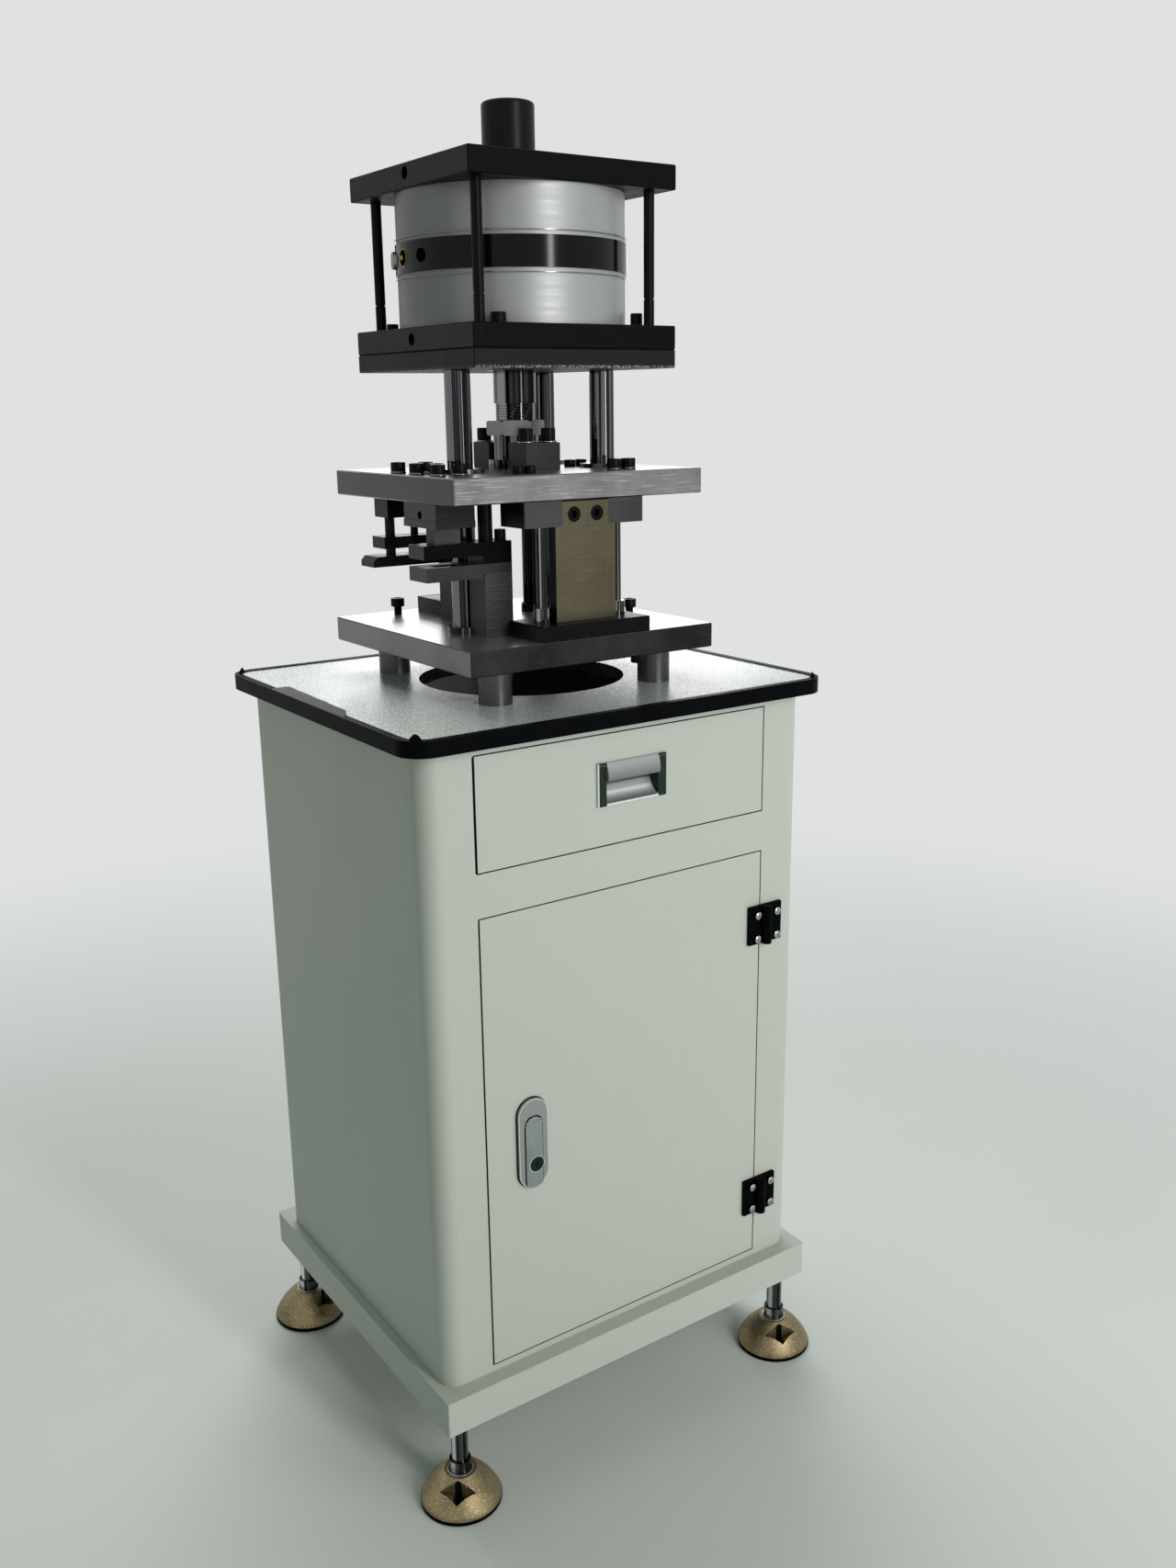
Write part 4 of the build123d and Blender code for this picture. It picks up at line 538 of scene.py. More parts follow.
@dataclass(frozen=True)
class ChippedBlack(OxideBlack):
    """Black plate whose lower edge is chipped down to bright metal."""

    edge_low: float = 1.2503
    edge_high: float = 1.2535
    chipped_height: ClassVar[float] = 3.4 * MM
    chip_scale: ClassVar[float] = 620.0
    bare: ClassVar[Triple] = (0.5, 0.5, 0.5)

    def detail(self, graph: NodeGraph) -> None:
        """The black skin, with bright specks that thin out above the lower edge."""
        super().detail(graph)
        skin = graph.surface.inputs["Base Color"].links[0].from_socket
        flakes = graph.noise(graph.mapped((1, 1, 1.6)), self.chip_scale, 4.0, 0.6)
        chips = graph.ramp(flakes, (0.5, 0.0), (0.56, 1.0))
        above = graph.along("Z", self.edge_low, self.edge_high)
        rise = graph.ramp(above, (0.0, 1.0), (0.35, 0.8), (1.0, 0.0))
        front = graph.ramp(graph.facing(FRONT), (0.2, 0.25), (0.8, 1.0))
        chipped = graph.times(front, graph.times(chips, rise))
        graph.put("Base Color", graph.blend(chipped, skin, self.bare))


@dataclass(frozen=True)
class CastZinc(Finish):
    """Sand-cast foot with yellow zinc: pebbled skin, colour drifting from gold to brown."""

    second: Triple = (0.36, 0.25, 0.14)
    pit_scale: ClassVar[float] = 520.0
    pit_depth: ClassVar[float] = 0.0006

    def detail(self, graph: NodeGraph) -> None:
        """Drifting plating colour, pebbled skin and painted glints."""
        drift = graph.noise(graph.mapped(), 22.0, 5.0)
        pits = graph.noise(graph.mapped(), self.pit_scale, 4.0, 0.6)
        plated = graph.blend(graph.ramp(drift, (0.35, 0.0), (0.7, 1.0)), self.colour, self.second)
        # Painted glints: bright specks where the pits are highest.
        painted_glints = graph.ramp(pits, (0.56, 0.0), (0.68, 0.85))
        graph.put("Base Color", graph.blend(painted_glints, plated, shade(self.colour, 2.2)))
        graph.roughen(pits, self.roughness - 0.1, self.roughness + 0.2)
        graph.put("Normal", graph.bump(pits, self.pit_depth, 0.75))


@dataclass(frozen=True)
class SoftBlack(Finish):
    """Rubber or plastic with a faint grain and dusty patches."""

    dust: Triple = (0.1, 0.1, 0.098)
    grain_scale: ClassVar[float] = 1100.0
    grain_depth: ClassVar[float] = 0.00008

    def detail(self, graph: NodeGraph) -> None:
        """Dusty patches and a fine grain."""
        dust = graph.noise(graph.mapped(), 30.0, 6.0)
        graph.put("Base Color", graph.blend(graph.ramp(dust, (0.5, 0.0), (0.9, 0.3)), self.colour, self.dust))
        graph.roughen(dust, self.roughness - 0.1, self.roughness + 0.12)
        graph.grain(self.grain_scale, 2.0, self.grain_depth, 0.5)


ALONG_Z = (700.0, 700.0, 8.0)

# Each finish starts with its name, colour, roughness and, where it has one, metallic share.
PAINT = PowderCoat("powder_coat_warm_grey", (0.455, 0.474, 0.433), 0.42)
LAMINATE = Laminate("speckled_laminate", (0.84, 0.85, 0.84), 0.24, edge_core_and_shade=(0.02, 0.019, 0.018), shine=0.7)
EDGING = SoftBlack("black_edging", (0.002, 0.0023, 0.0028), 0.34, dust=(0.008, 0.008, 0.008), shine=0.02)
# Black of the top gasket, used also as painted shade in gaps, lines, the keyway and the bores.
GASKET_AND_SHADE = SoftBlack("dark_gasket", (0.002, 0.003, 0.0027), 0.6, dust=(0.006, 0.007, 0.007), shine=0.04)
# Grey of the loose lip: a painted reflection on the black rubber, with dust patches.
DUSTY_SHEEN_LIP = SoftBlack("dusty_lip", (0.15, 0.15, 0.154), 0.7, dust=(0.22, 0.22, 0.22), shine=0.1)
# The ground steel copies differ in colour as painted shade and reflection: parts under the press and faces
# that mirror dark things get darker copies.
STEEL = GroundSteel("ground_steel", (0.235, 0.235, 0.232), 0.3, 1.0, scratches=0.9, top=0.34, left=0.062,
                    stains=0.25)
BED_STEEL = GroundSteel("ground_bed_steel", (0.026, 0.0285, 0.0265), 0.28, 1.0, scratches=0.35, top=0.62,
                        left=0.15, stains=0.5)
SPACER_STEEL = GroundSteel("brushed_spacer_steel", (0.085, 0.087, 0.085), 0.32, 1.0, lines=ALONG_Z,
                           scratches=0.3, left=0.085)
SHOE_STEEL = GroundSteel("shoe_steel", (0.057, 0.057, 0.056), 0.36, 1.0, scratches=0.3, top=0.1, left=0.03)
JAW_STEEL = GroundSteel("jaw_steel", (0.032, 0.034, 0.03), 0.36, 1.0, scratches=0.3, top=0.1, left=0.05)
SHADED_JAW_STEEL = GroundSteel("dark_jaw_steel", (0.004, 0.005, 0.0045), 0.34, 1.0, scratches=0.2, top=0.02,
                              left=0.028)
HOLDER_STEEL = GroundSteel("holder_steel", (0.019, 0.02, 0.018), 0.36, 1.0, scratches=0.3, top=0.08,
                           left=0.04)
RISER_STEEL = GroundSteel("riser_steel", (0.046, 0.047, 0.043), 0.4, 1.0, lines=ALONG_Z, scratches=0.7,
                          top=0.06, left=0.03, stains=0.4)
CLAMP_STEEL = GroundSteel("clamp_steel", (0.032, 0.032, 0.034), 0.42, 0.9, lines=ALONG_Z, scratches=0.2,
                          top=0.05, left=0.02)
NUT_STEEL = GroundSteel("nut_steel", (0.18, 0.18, 0.18), 0.26, 1.0, lines=ALONG_Z, scratches=0.4, top=0.36,
                        left=0.16)
TOOL = GroundSteel("tool_steel", (0.1, 0.087, 0.057), 0.36, 1.0, lines=ALONG_Z, scratches=0.3, top=0.14,
                   left=0.05, stains=0.12)
OXIDE = OxideBlack("black_oxide", (0.003, 0.003, 0.0036), 0.3, wear=0.2, left=(0.007, 0.007, 0.007),
                   shine=0.07)
BLACK_PLATE = OxideBlack("black_plate", (0.0028, 0.0032, 0.004), 0.42, wear=0.08, left=(0.052, 0.052, 0.053),
                         shine=0.05)
CHIPPED_PLATE = ChippedBlack("chipped_black_plate", (0.0095, 0.0105, 0.0125), 0.42, wear=0.12,
                             left=(0.0145, 0.015, 0.016), shine=0.1)
DARK_BAR = OxideBlack("dark_bar_steel", (0.009, 0.01, 0.01), 0.34, 0.4, left=(0.016, 0.017, 0.017),
                      shine=0.12)
GLOSS_BLACK = TurnedMetal("gloss_black_turned", (0.002, 0.002, 0.003), 0.13, rings=900.0, depth=0.000001,
                          shine=0.16)
CAP_BLACK = TurnedMetal("cap_black", (0.005, 0.0045, 0.0065), 0.34, rings=900.0, depth=0.00001, shine=0.12)
TUBE = TurnedMetal("brushed_aluminium_tube", (0.35, 0.355, 0.35), 0.42, 0.4, rings=260.0, depth=0.000003,
                   shaded=0.44, contrast=0.08)
# Chrome and polished bar colours lie below bare chrome: the dark base paints the reflection of dark
# surroundings.
CHROME = PolishedBar("hard_chrome", (0.15, 0.15, 0.155), 0.05, 1.0, reflection_streaks=230.0, dark=(0.014, 0.014, 0.016),
                     share=0.52)
ROD_CHROME = PolishedBar("rod_chrome", (0.04, 0.041, 0.043), 0.1, 1.0, reflection_streaks=200.0,
                         dark=(0.008, 0.0085, 0.009), share=0.56, lit_side=0.24)
PIN_CHROME = PolishedBar("pin_chrome", (0.36, 0.36, 0.35), 0.06, 1.0, reflection_streaks=330.0,
                         dark=(0.012, 0.012, 0.012), share=0.56, painted_shade_from_y=0.0)
BUSH = TurnedMetal("bush_steel", (0.1, 0.1, 0.1), 0.26, 1.0, rings=1200.0)
SHEET_ZINC = GroundSteel("zinc_sheet", (0.48, 0.49, 0.5), 0.34, 1.0, lines=(60.0, 300.0, 300.0),
                         scratches=0.1)
NICKEL = TurnedMetal("satin_nickel", (0.36, 0.37, 0.362), 0.3, 0.85, rings=300.0, depth=0.00001,
                     contrast=0.15)
PULL_PAINTED_LIGHT = PullPaintedLight("satin_pull", (0.86, 0.88, 0.87), 0.36, 0.3)
# Bright finish of the painted highlights on the pull's rims, the lock plate's rim and the barrel's ring.
RIM_HIGHLIGHT = TurnedMetal("bright_rim", (0.78, 0.79, 0.78), 0.22, 0.6, rings=300.0, depth=0.00001,
                         contrast=0.1)
LEVER = GroundSteel("satin_lever", (0.3, 0.33, 0.33), 0.3, 1.0, lines=ALONG_Z, scratches=0.2, stains=0.1)
BARREL = TurnedMetal("dark_lock_barrel", (0.004, 0.012, 0.013), 0.25, rings=500.0, depth=0.00001, shine=0.15)
DARK_CAP = SoftBlack("dark_green_plastic", (0.009, 0.02, 0.014), 0.3, dust=(0.02, 0.032, 0.026), shine=0.16)
CAST = CastZinc("yellow_zinc_cast", (0.32, 0.255, 0.14), 0.36, 0.95, second=(0.13, 0.102, 0.055))
STUD = TurnedMetal("bright_stud", (0.16, 0.16, 0.163), 0.18, 1.0, rings=900.0, depth=0.00001)
STUD_BAR = PolishedBar("stud_bar", (0.13, 0.13, 0.13), 0.12, 1.0, reflection_streaks=150.0, dark=(0.012, 0.012, 0.013),
                       share=0.5, lit_side=0.8)
HINGE_BLACK = OxideBlack("hinge_black", (0.0016, 0.0018, 0.0018), 0.4, wear=0.06, left=(0.003, 0.003, 0.003),
                         shine=0.015)
# Dark discs that paint the shade inside the ring's port and bleed hole.
PORT_SHADE = SoftBlack("port_dark", (0.0008, 0.0008, 0.0008), 0.8, dust=(0.001, 0.001, 0.001), shine=0.0)
PLUG_NICKEL = TurnedMetal("plug_nickel", (0.3, 0.29, 0.25), 0.3, 0.9, rings=900.0, depth=0.00001)
SCREW_ZINC = TurnedMetal("zinc_screw", (0.4, 0.41, 0.41), 0.24, 1.0, rings=900.0, depth=0.00001)
BRASS_PLUG = TurnedMetal("brass_plug", (0.3, 0.22, 0.08), 0.26, 1.0)

SLOT_FINISHES: dict[Slot, Finish] = {
    Slot.CABINET_PAINT: PAINT,
    Slot.LAMINATE: LAMINATE,
    Slot.BLACK_EDGING: EDGING,
    Slot.GROUND_STEEL: STEEL,
    Slot.BLACK_STEEL: OXIDE,
    Slot.BLACK_ANODISED: GLOSS_BLACK,
    Slot.CYLINDER_ALUMINIUM: TUBE,
    Slot.TOOL_STEEL: TOOL,
    Slot.HARD_CHROME: CHROME,
    Slot.BLACK_PLASTIC: DARK_CAP,
    Slot.ZINC_PLATED: SHEET_ZINC,
    Slot.SATIN_NICKEL: NICKEL,
    Slot.YELLOW_ZINC: CAST,
    Slot.STUD_STEEL: STUD_BAR,
}

NODE_FINISHES: dict[str, Finish] = {
    "top_gasket": GASKET_AND_SHADE,
    "top_cap": CAP_BLACK,
    "cylinder_base": BLACK_PLATE,
    "head_plate": BLACK_PLATE,
    "mount_plate": CHIPPED_PLATE,
    "lower_plate": BED_STEEL,
    "spacer_legs": SPACER_STEEL,
    "punch_shoe": SHOE_STEEL,
    "lower_jaw": JAW_STEEL,
    "upper_jaw": SHADED_JAW_STEEL,
    "jaw_spacer": SHADED_JAW_STEEL,
    "jaw_riser": RISER_STEEL,
    "jaw_punch_holder": HOLDER_STEEL,
    "hinge_frame_leaves": HINGE_BLACK,
    "hinge_door_leaves": HINGE_BLACK,
    "jaw_punch": RISER_STEEL,
    "clamp_blocks": CLAMP_STEEL,
    "jam_nut": NUT_STEEL,
    "rod_adaptor": CHROME,
    "piston_rod": ROD_CHROME,
    "guide_pins": PIN_CHROME,
    "guide_bushes": BUSH,
    "rod_gland": BUSH,
    "rear_riser": DARK_BAR,
    "rear_die_bar": DARK_BAR,
    "rear_guide_bar": DARK_BAR,
    "rear_punch_holder": DARK_BAR,
    "rear_punch": DARK_BAR,
    "drawer_pull": PULL_PAINTED_LIGHT,
    "lock_lever": LEVER,
    "lock_barrel": BARREL,
}


def linked(name: str, data: bpy.types.ID) -> bpy.types.Object:
    """Object of some data, linked to the scene."""
    item = bpy.data.objects.new(name, data)
    bpy.context.scene.collection.objects.link(item)
    return item


def settled(name: str, shape: bmesh.types.BMesh, finish: Finish,
            smooth_below: float = SMOOTH_BELOW) -> bpy.types.Object:
    """Turn a bmesh into a finished object at the origin.

    Args:
        name: Name of the piece.
        shape: The shape, in metres, in the row frame.
        finish: Its finish.
        smooth_below: Edges flatter than this angle, in degrees, are smooth.

    Returns:
        The object.
    """
    bmesh.ops.remove_doubles(shape, verts=shape.verts, dist=WELD)
    bmesh.ops.recalc_face_normals(shape, faces=shape.faces)
    mesh = bpy.data.meshes.new(name)
    for face in shape.faces:
        face.smooth = True
    limit = math.radians(smooth_below)
    for edge in shape.edges:
        edge.smooth = len(edge.link_faces) == 2 and edge.calc_face_angle(0.0) < limit
    shape.to_mesh(mesh)
    shape.free()
    piece = linked(name, mesh)
    mesh.materials.append(finish.material())
    return piece


def band(shape: bmesh.types.BMesh, here: Corners, there: Corners, closed: bool = True) -> None:
    """Lay faces between two rows of as many corners.

    Args:
        shape: The shape that owns the corners.
        here: First row.
        there: Second row, corner for corner.
        closed: Whether each row is a loop.
    """
    count = len(here)
    for index in range(count if closed else count - 1):
        after = (index + 1) % count
        shape.faces.new((here[index], here[after], there[after], there[index]))


def skin(shape: bmesh.types.BMesh, loops: Sequence[Corners], wrapped: bool = False) -> None:
    """Lay faces between each loop of corners and the next.

    Args:
        shape: The shape that owns the corners.
        loops: The loops, in order.
        wrapped: Whether the last loop meets the first; otherwise both ends are closed flat.
    """
    following = [*loops[1:], loops[0]] if wrapped else loops[1:]
    for here, there in zip(loops, following):
        band(shape, here, there)
    if not wrapped:
        shape.faces.new(list(reversed(loops[0])))
        shape.faces.new(loops[-1])


def lathe(profile: Points, centre: Vector = ORIGIN, segments: int = 48) -> bmesh.types.BMesh:
    """Turn a closed profile round the upright axis.

    Args:
        profile: Points of radius and height, in metres, in order round the section.
        centre: Foot of the axis.
        segments: Steps round the axis.

    Returns:
        The turned shape.
    """
    shape = bmesh.new()
    columns = []
    for step in range(segments):
        angle = 2 * math.pi * step / segments
        across, deep = math.cos(angle), math.sin(angle)
        columns.append([shape.verts.new(centre + Vector((radius * across, radius * deep, height)))
                        for radius, height in profile])
    rings = list(zip(*columns))
    for index, here in enumerate(rings):
        after = (index + 1) % len(rings)
        if max(profile[index][0], profile[after][0]) > ON_AXIS:
            band(shape, here, rings[after])
    return shape


def placed(shape: bmesh.types.BMesh, place: Matrix) -> bmesh.types.BMesh:
    """Move a shape by a matrix and return it."""
    bmesh.ops.transform(shape, matrix=place, verts=shape.verts)
    return shape


def upright(shape: bmesh.types.BMesh, x: float, y: float, z: float) -> bmesh.types.BMesh:
    """Stand a flat shape at a place, with its top to the machine's front, and return it."""
    return placed(shape, Matrix.Translation((x, y, z)) @ UPRIGHT)


def prism(outline: Points, length: float) -> bmesh.types.BMesh:
    """Extrude an outline in the XY plane upwards.

    Args:
        outline: Points of the outline, anticlockwise.
        length: Height of the prism.

    Returns:
        The closed prism.
    """
    shape = bmesh.new()
    skin(shape, [[shape.verts.new((x, y, level)) for x, y in outline] for level in (0.0, length)])
    return shape


def hoop(outer: Points, inner: Points, length: float) -> bmesh.types.BMesh:
    """Extrude the band between two closed outlines of as many points.

    Args:
        outer: Outer outline in the XY plane.
        inner: Inner outline, point for point.
        length: Height of the band.

    Returns:
        The closed band.
    """
    shape = bmesh.new()
    loops = [[shape.verts.new((x, y, level)) for x, y in outline]
             for outline, level in ((outer, 0.0), (outer, length), (inner, length), (inner, 0.0))]
    skin(shape, loops, wrapped=True)
    return shape


def stadium(half_width: float, half_height: float, steps: int = 16) -> list[tuple[float, float]]:
    """Outline with two straight sides and two half circles, standing upright.

    Args:
        half_width: Half of the width, which is the circles' radius.
        half_height: Half of the height.
        steps: Steps round each half circle.

    Returns:
        The outline's points.
    """
    rise = half_height - half_width
    points = []
    for middle, start in ((rise, 0.0), (-rise, math.pi)):
        for step in range(steps + 1):
            angle = start + math.pi * step / steps
            points.append((half_width * math.cos(angle), middle + half_width * math.sin(angle)))
    return points


def thread_sleeve(radius: float, depth: float, pitch: float, low: float, high: float, centre: Vector = ORIGIN,
                  around: int = 40, per_turn: int = 6) -> bmesh.types.BMesh:
    """Screw thread as a skin whose radius follows one helix.

    Args:
        radius: Outer radius.
        depth: Depth of the thread.
        pitch: Rise in one turn.
        low: Lower end.
        high: Upper end.
        centre: A point on the axis.
        around: Steps round the axis.
        per_turn: Steps along one pitch.

    Returns:
        The thread with closed ends.
    """
    shape = bmesh.new()
    rows = max(2, int((high - low) / pitch * per_turn))
    loops = []
    for row in range(rows + 1):
        height = low + (high - low) * row / rows
        loop = []
        for step in range(around):
            turn = step / around
            phase = ((height / pitch) - turn) % 1.0
            reach = radius - depth * abs(2.0 * phase - 1.0)
            angle = 2 * math.pi * turn
            x, y = centre.x + reach * math.cos(angle), centre.y + reach * math.sin(angle)
            loop.append(shape.verts.new((x, y, height)))
        loops.append(loop)
    skin(shape, loops)
    return shape


def screw_head_shape(teeth: int = 30, hex_size: float = 0.56, chamfer: float = 0.07) -> bmesh.types.BMesh:
    """Knurled cap-screw head of radius 1 and height 1 with a hexagon socket.

    Args:
        teeth: Notches of the knurl.
        hex_size: Corner radius of the socket.
        chamfer: Width of the rounded rim.

    Returns:
        The closed head.
    """
    shape = bmesh.new()
    steps = teeth * 2
    notch, foot, knurl_low, socket_floor = 0.045, 0.97, 0.06, 0.45

    def ring(radius: float, height: float, cut: float = 0.0) -> list[bmesh.types.BMVert]:
        """Ring of corners, every second one drawn in by the cut."""
        return [shape.verts.new(((radius - cut * (step % 2)) * math.cos(2 * math.pi * step / steps),
                                 (radius - cut * (step % 2)) * math.sin(2 * math.pi * step / steps), height))
                for step in range(steps)]

    def hexagon(height: float) -> list[bmesh.types.BMVert]:
        """Ring of corners that lie on the socket's hexagon."""
        corners = []
        for step in range(steps):
            angle = 2 * math.pi * step / steps
            within = (angle + math.pi / 6) % (math.pi / 3) - math.pi / 6
            radius = hex_size * math.cos(math.pi / 6) / math.cos(within)
            corners.append(shape.verts.new((radius * math.cos(angle), radius * math.sin(angle), height)))
        return corners

    skin(shape, [ring(foot, 0.0), ring(1.0, knurl_low, notch), ring(1.0, 1.0 - chamfer * 1.4, notch),
                 ring(1.0 - chamfer, 1.0), hexagon(1.0), hexagon(socket_floor)])
    return shape


def washer_shape() -> bmesh.types.BMesh:
    """Flat washer of radius 1 and thickness 1 with rounded rims."""
    bore, flat = 0.55, 0.94
    return lathe(((bore, 0.0), (flat, 0.0), (1.0, 0.25), (1.0, 0.75), (flat, 1.0), (bore, 1.0)), segments=32)


def cross_screw_shape(around: int = 48, rings: int = 9) -> bmesh.types.BMesh:
    """Domed screw head of radius 1 and height 1 with a cross recess.

    Args:
        around: Steps round the axis, a multiple of four.
        rings: Steps from the middle to the rim.

    Returns:
        The closed head.
    """
    recess_reach, recess_depth, recess_floor = 0.6, 0.55, 0.42
    dome, thinnest = 0.7, 0.02
    shape = bmesh.new()
    quarter = around // 4
    rows = []
    for ring in range(1, rings + 1):
        radius = ring / rings
        row = []
        for step in range(around):
            angle = 2 * math.pi * step / around
            in_arm = min(step % quarter, quarter - step % quarter) <= 1
            sunk = recess_depth if in_arm and radius < recess_reach else 0.0
            height = max(1.0 - dome * radius * radius - sunk, thinnest)
            row.append(shape.verts.new((radius * math.cos(angle), radius * math.sin(angle), height)))
        rows.append(row)
    rows.append([shape.verts.new((vertex.co.x, vertex.co.y, 0.0)) for vertex in rows[-1]])
    middle = shape.verts.new((0.0, 0.0, recess_floor))
    for step in range(around):
        shape.faces.new((middle, rows[0][step], rows[0][(step + 1) % around]))
    for here, there in zip(rows, rows[1:]):
        band(shape, here, there)
    shape.faces.new(list(reversed(rows[-1])))
    return shape


@dataclass
class FastenerRow:
    """Like fasteners at many places, made by one Geometry Nodes tree."""

    name: str
    shape: Callable[[], bmesh.types.BMesh]
    finish: Finish
    radius: float
    height: float

    def tree(self) -> bpy.types.NodeTree:
        """Tree that puts the scaled fastener on each point, turned by the point's attribute."""
        tree = bpy.data.node_groups.new(f"{self.name}_tree", "GeometryNodeTree")
        for name, kind in (("Places", "Geometry"), ("Fastener", "Object"), ("Radius", "Float"),
                           ("Height", "Float"), ("Finish", "Material")):
            tree.interface.new_socket(name, in_out="INPUT", socket_type=f"NodeSocket{kind}")
        tree.interface.new_socket("Fasteners", in_out="OUTPUT", socket_type="NodeSocketGeometry")
        entry = add_node(tree, "NodeGroupInput").outputs
        model = add_node(tree, "GeometryNodeObjectInfo", {"Object": entry["Fastener"]})
        size = add_node(tree, "ShaderNodeCombineXYZ",
                        {"X": entry["Radius"], "Y": entry["Radius"], "Z": entry["Height"]})
        turn = add_node(tree, "GeometryNodeInputNamedAttribute", {"Name": "turn"}, data_type="FLOAT_VECTOR")
        copies = add_node(tree, "GeometryNodeInstanceOnPoints",
                          {"Points": entry["Places"], "Instance": model.outputs["Geometry"],
                           "Rotation": turn.outputs["Attribute"], "Scale": size.outputs["Vector"]})
        real = add_node(tree, "GeometryNodeRealizeInstances", {"Geometry": copies.outputs["Instances"]})
        dress = add_node(tree, "GeometryNodeSetMaterial",
                         {"Geometry": real.outputs["Geometry"], "Material": entry["Finish"]})
        add_node(tree, "NodeGroupOutput", {"Fasteners": dress.outputs["Geometry"]})
        return tree

    def build(self, places: Sequence[tuple[Vector, Euler]]) -> bpy.types.Object:
        """Make the row as one plain mesh.

        Args:
            places: Seat and turn of each fastener.

        Returns:
            The finished object at the origin.
        """
        model = settled(f"{self.name}_model", self.shape(), self.finish)
        points = bpy.data.meshes.new(f"{self.name}_places")
        points.from_pydata([tuple(seat) for seat, _ in places], [], [])
        turns = points.attributes.new("turn", "FLOAT_VECTOR", "POINT")
        for index, (_, turn) in enumerate(places):
            turns.data[index].vector = tuple(turn)
        carrier = linked(f"{self.name}_carrier", points)
        tree = self.tree()
        modifier = carrier.modifiers.new("fasteners", "NODES")
        modifier.node_group = tree
        values = {"Fastener": model, "Radius": self.radius, "Height": self.height,
                  "Finish": self.finish.material()}
        for item in tree.interface.items_tree:
            if item.in_out == "INPUT" and item.name in values:
                modifier[item.identifier] = values[item.name]
        bpy.context.view_layer.update()
        evaluated = carrier.evaluated_get(bpy.context.evaluated_depsgraph_get())
        piece = linked(self.name, bpy.data.meshes.new_from_object(evaluated))
        bpy.data.objects.remove(carrier)
        bpy.data.objects.remove(model)
        return piece


@dataclass
class SubAssembly:
    """Common ground of the machine's sub-assemblies."""

    def add(self, piece: bpy.types.Object, body: str, slot: Slot, *stands_for: str) -> None:
        """Hand a finished piece to its body.

        Args:
            piece: The piece.
            body: Body that it moves with.
            slot: Record slot of its finish; not used.
            stands_for: CAD nodes that it replaces.
        """
        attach(piece, body)
        if stands_for:
            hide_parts(*stands_for)
        log.info("%s rides on %s", piece.name, body)

    def make(self, name: str, shape: bmesh.types.BMesh, finish: Finish, body: Body, slot: Slot,
             smooth_below: float = SMOOTH_BELOW) -> None:
        """Turn a shape into a finished piece and hand it to its body.

        Args:
            name: Name of the piece.
            shape: Its shape.
            finish: Its finish.
            body: Body that it moves with.
            slot: Record slot of its finish.
            smooth_below: Edges flatter than this angle, in degrees, are smooth.
        """
        self.add(settled(name, shape, finish, smooth_below), body.value, slot)


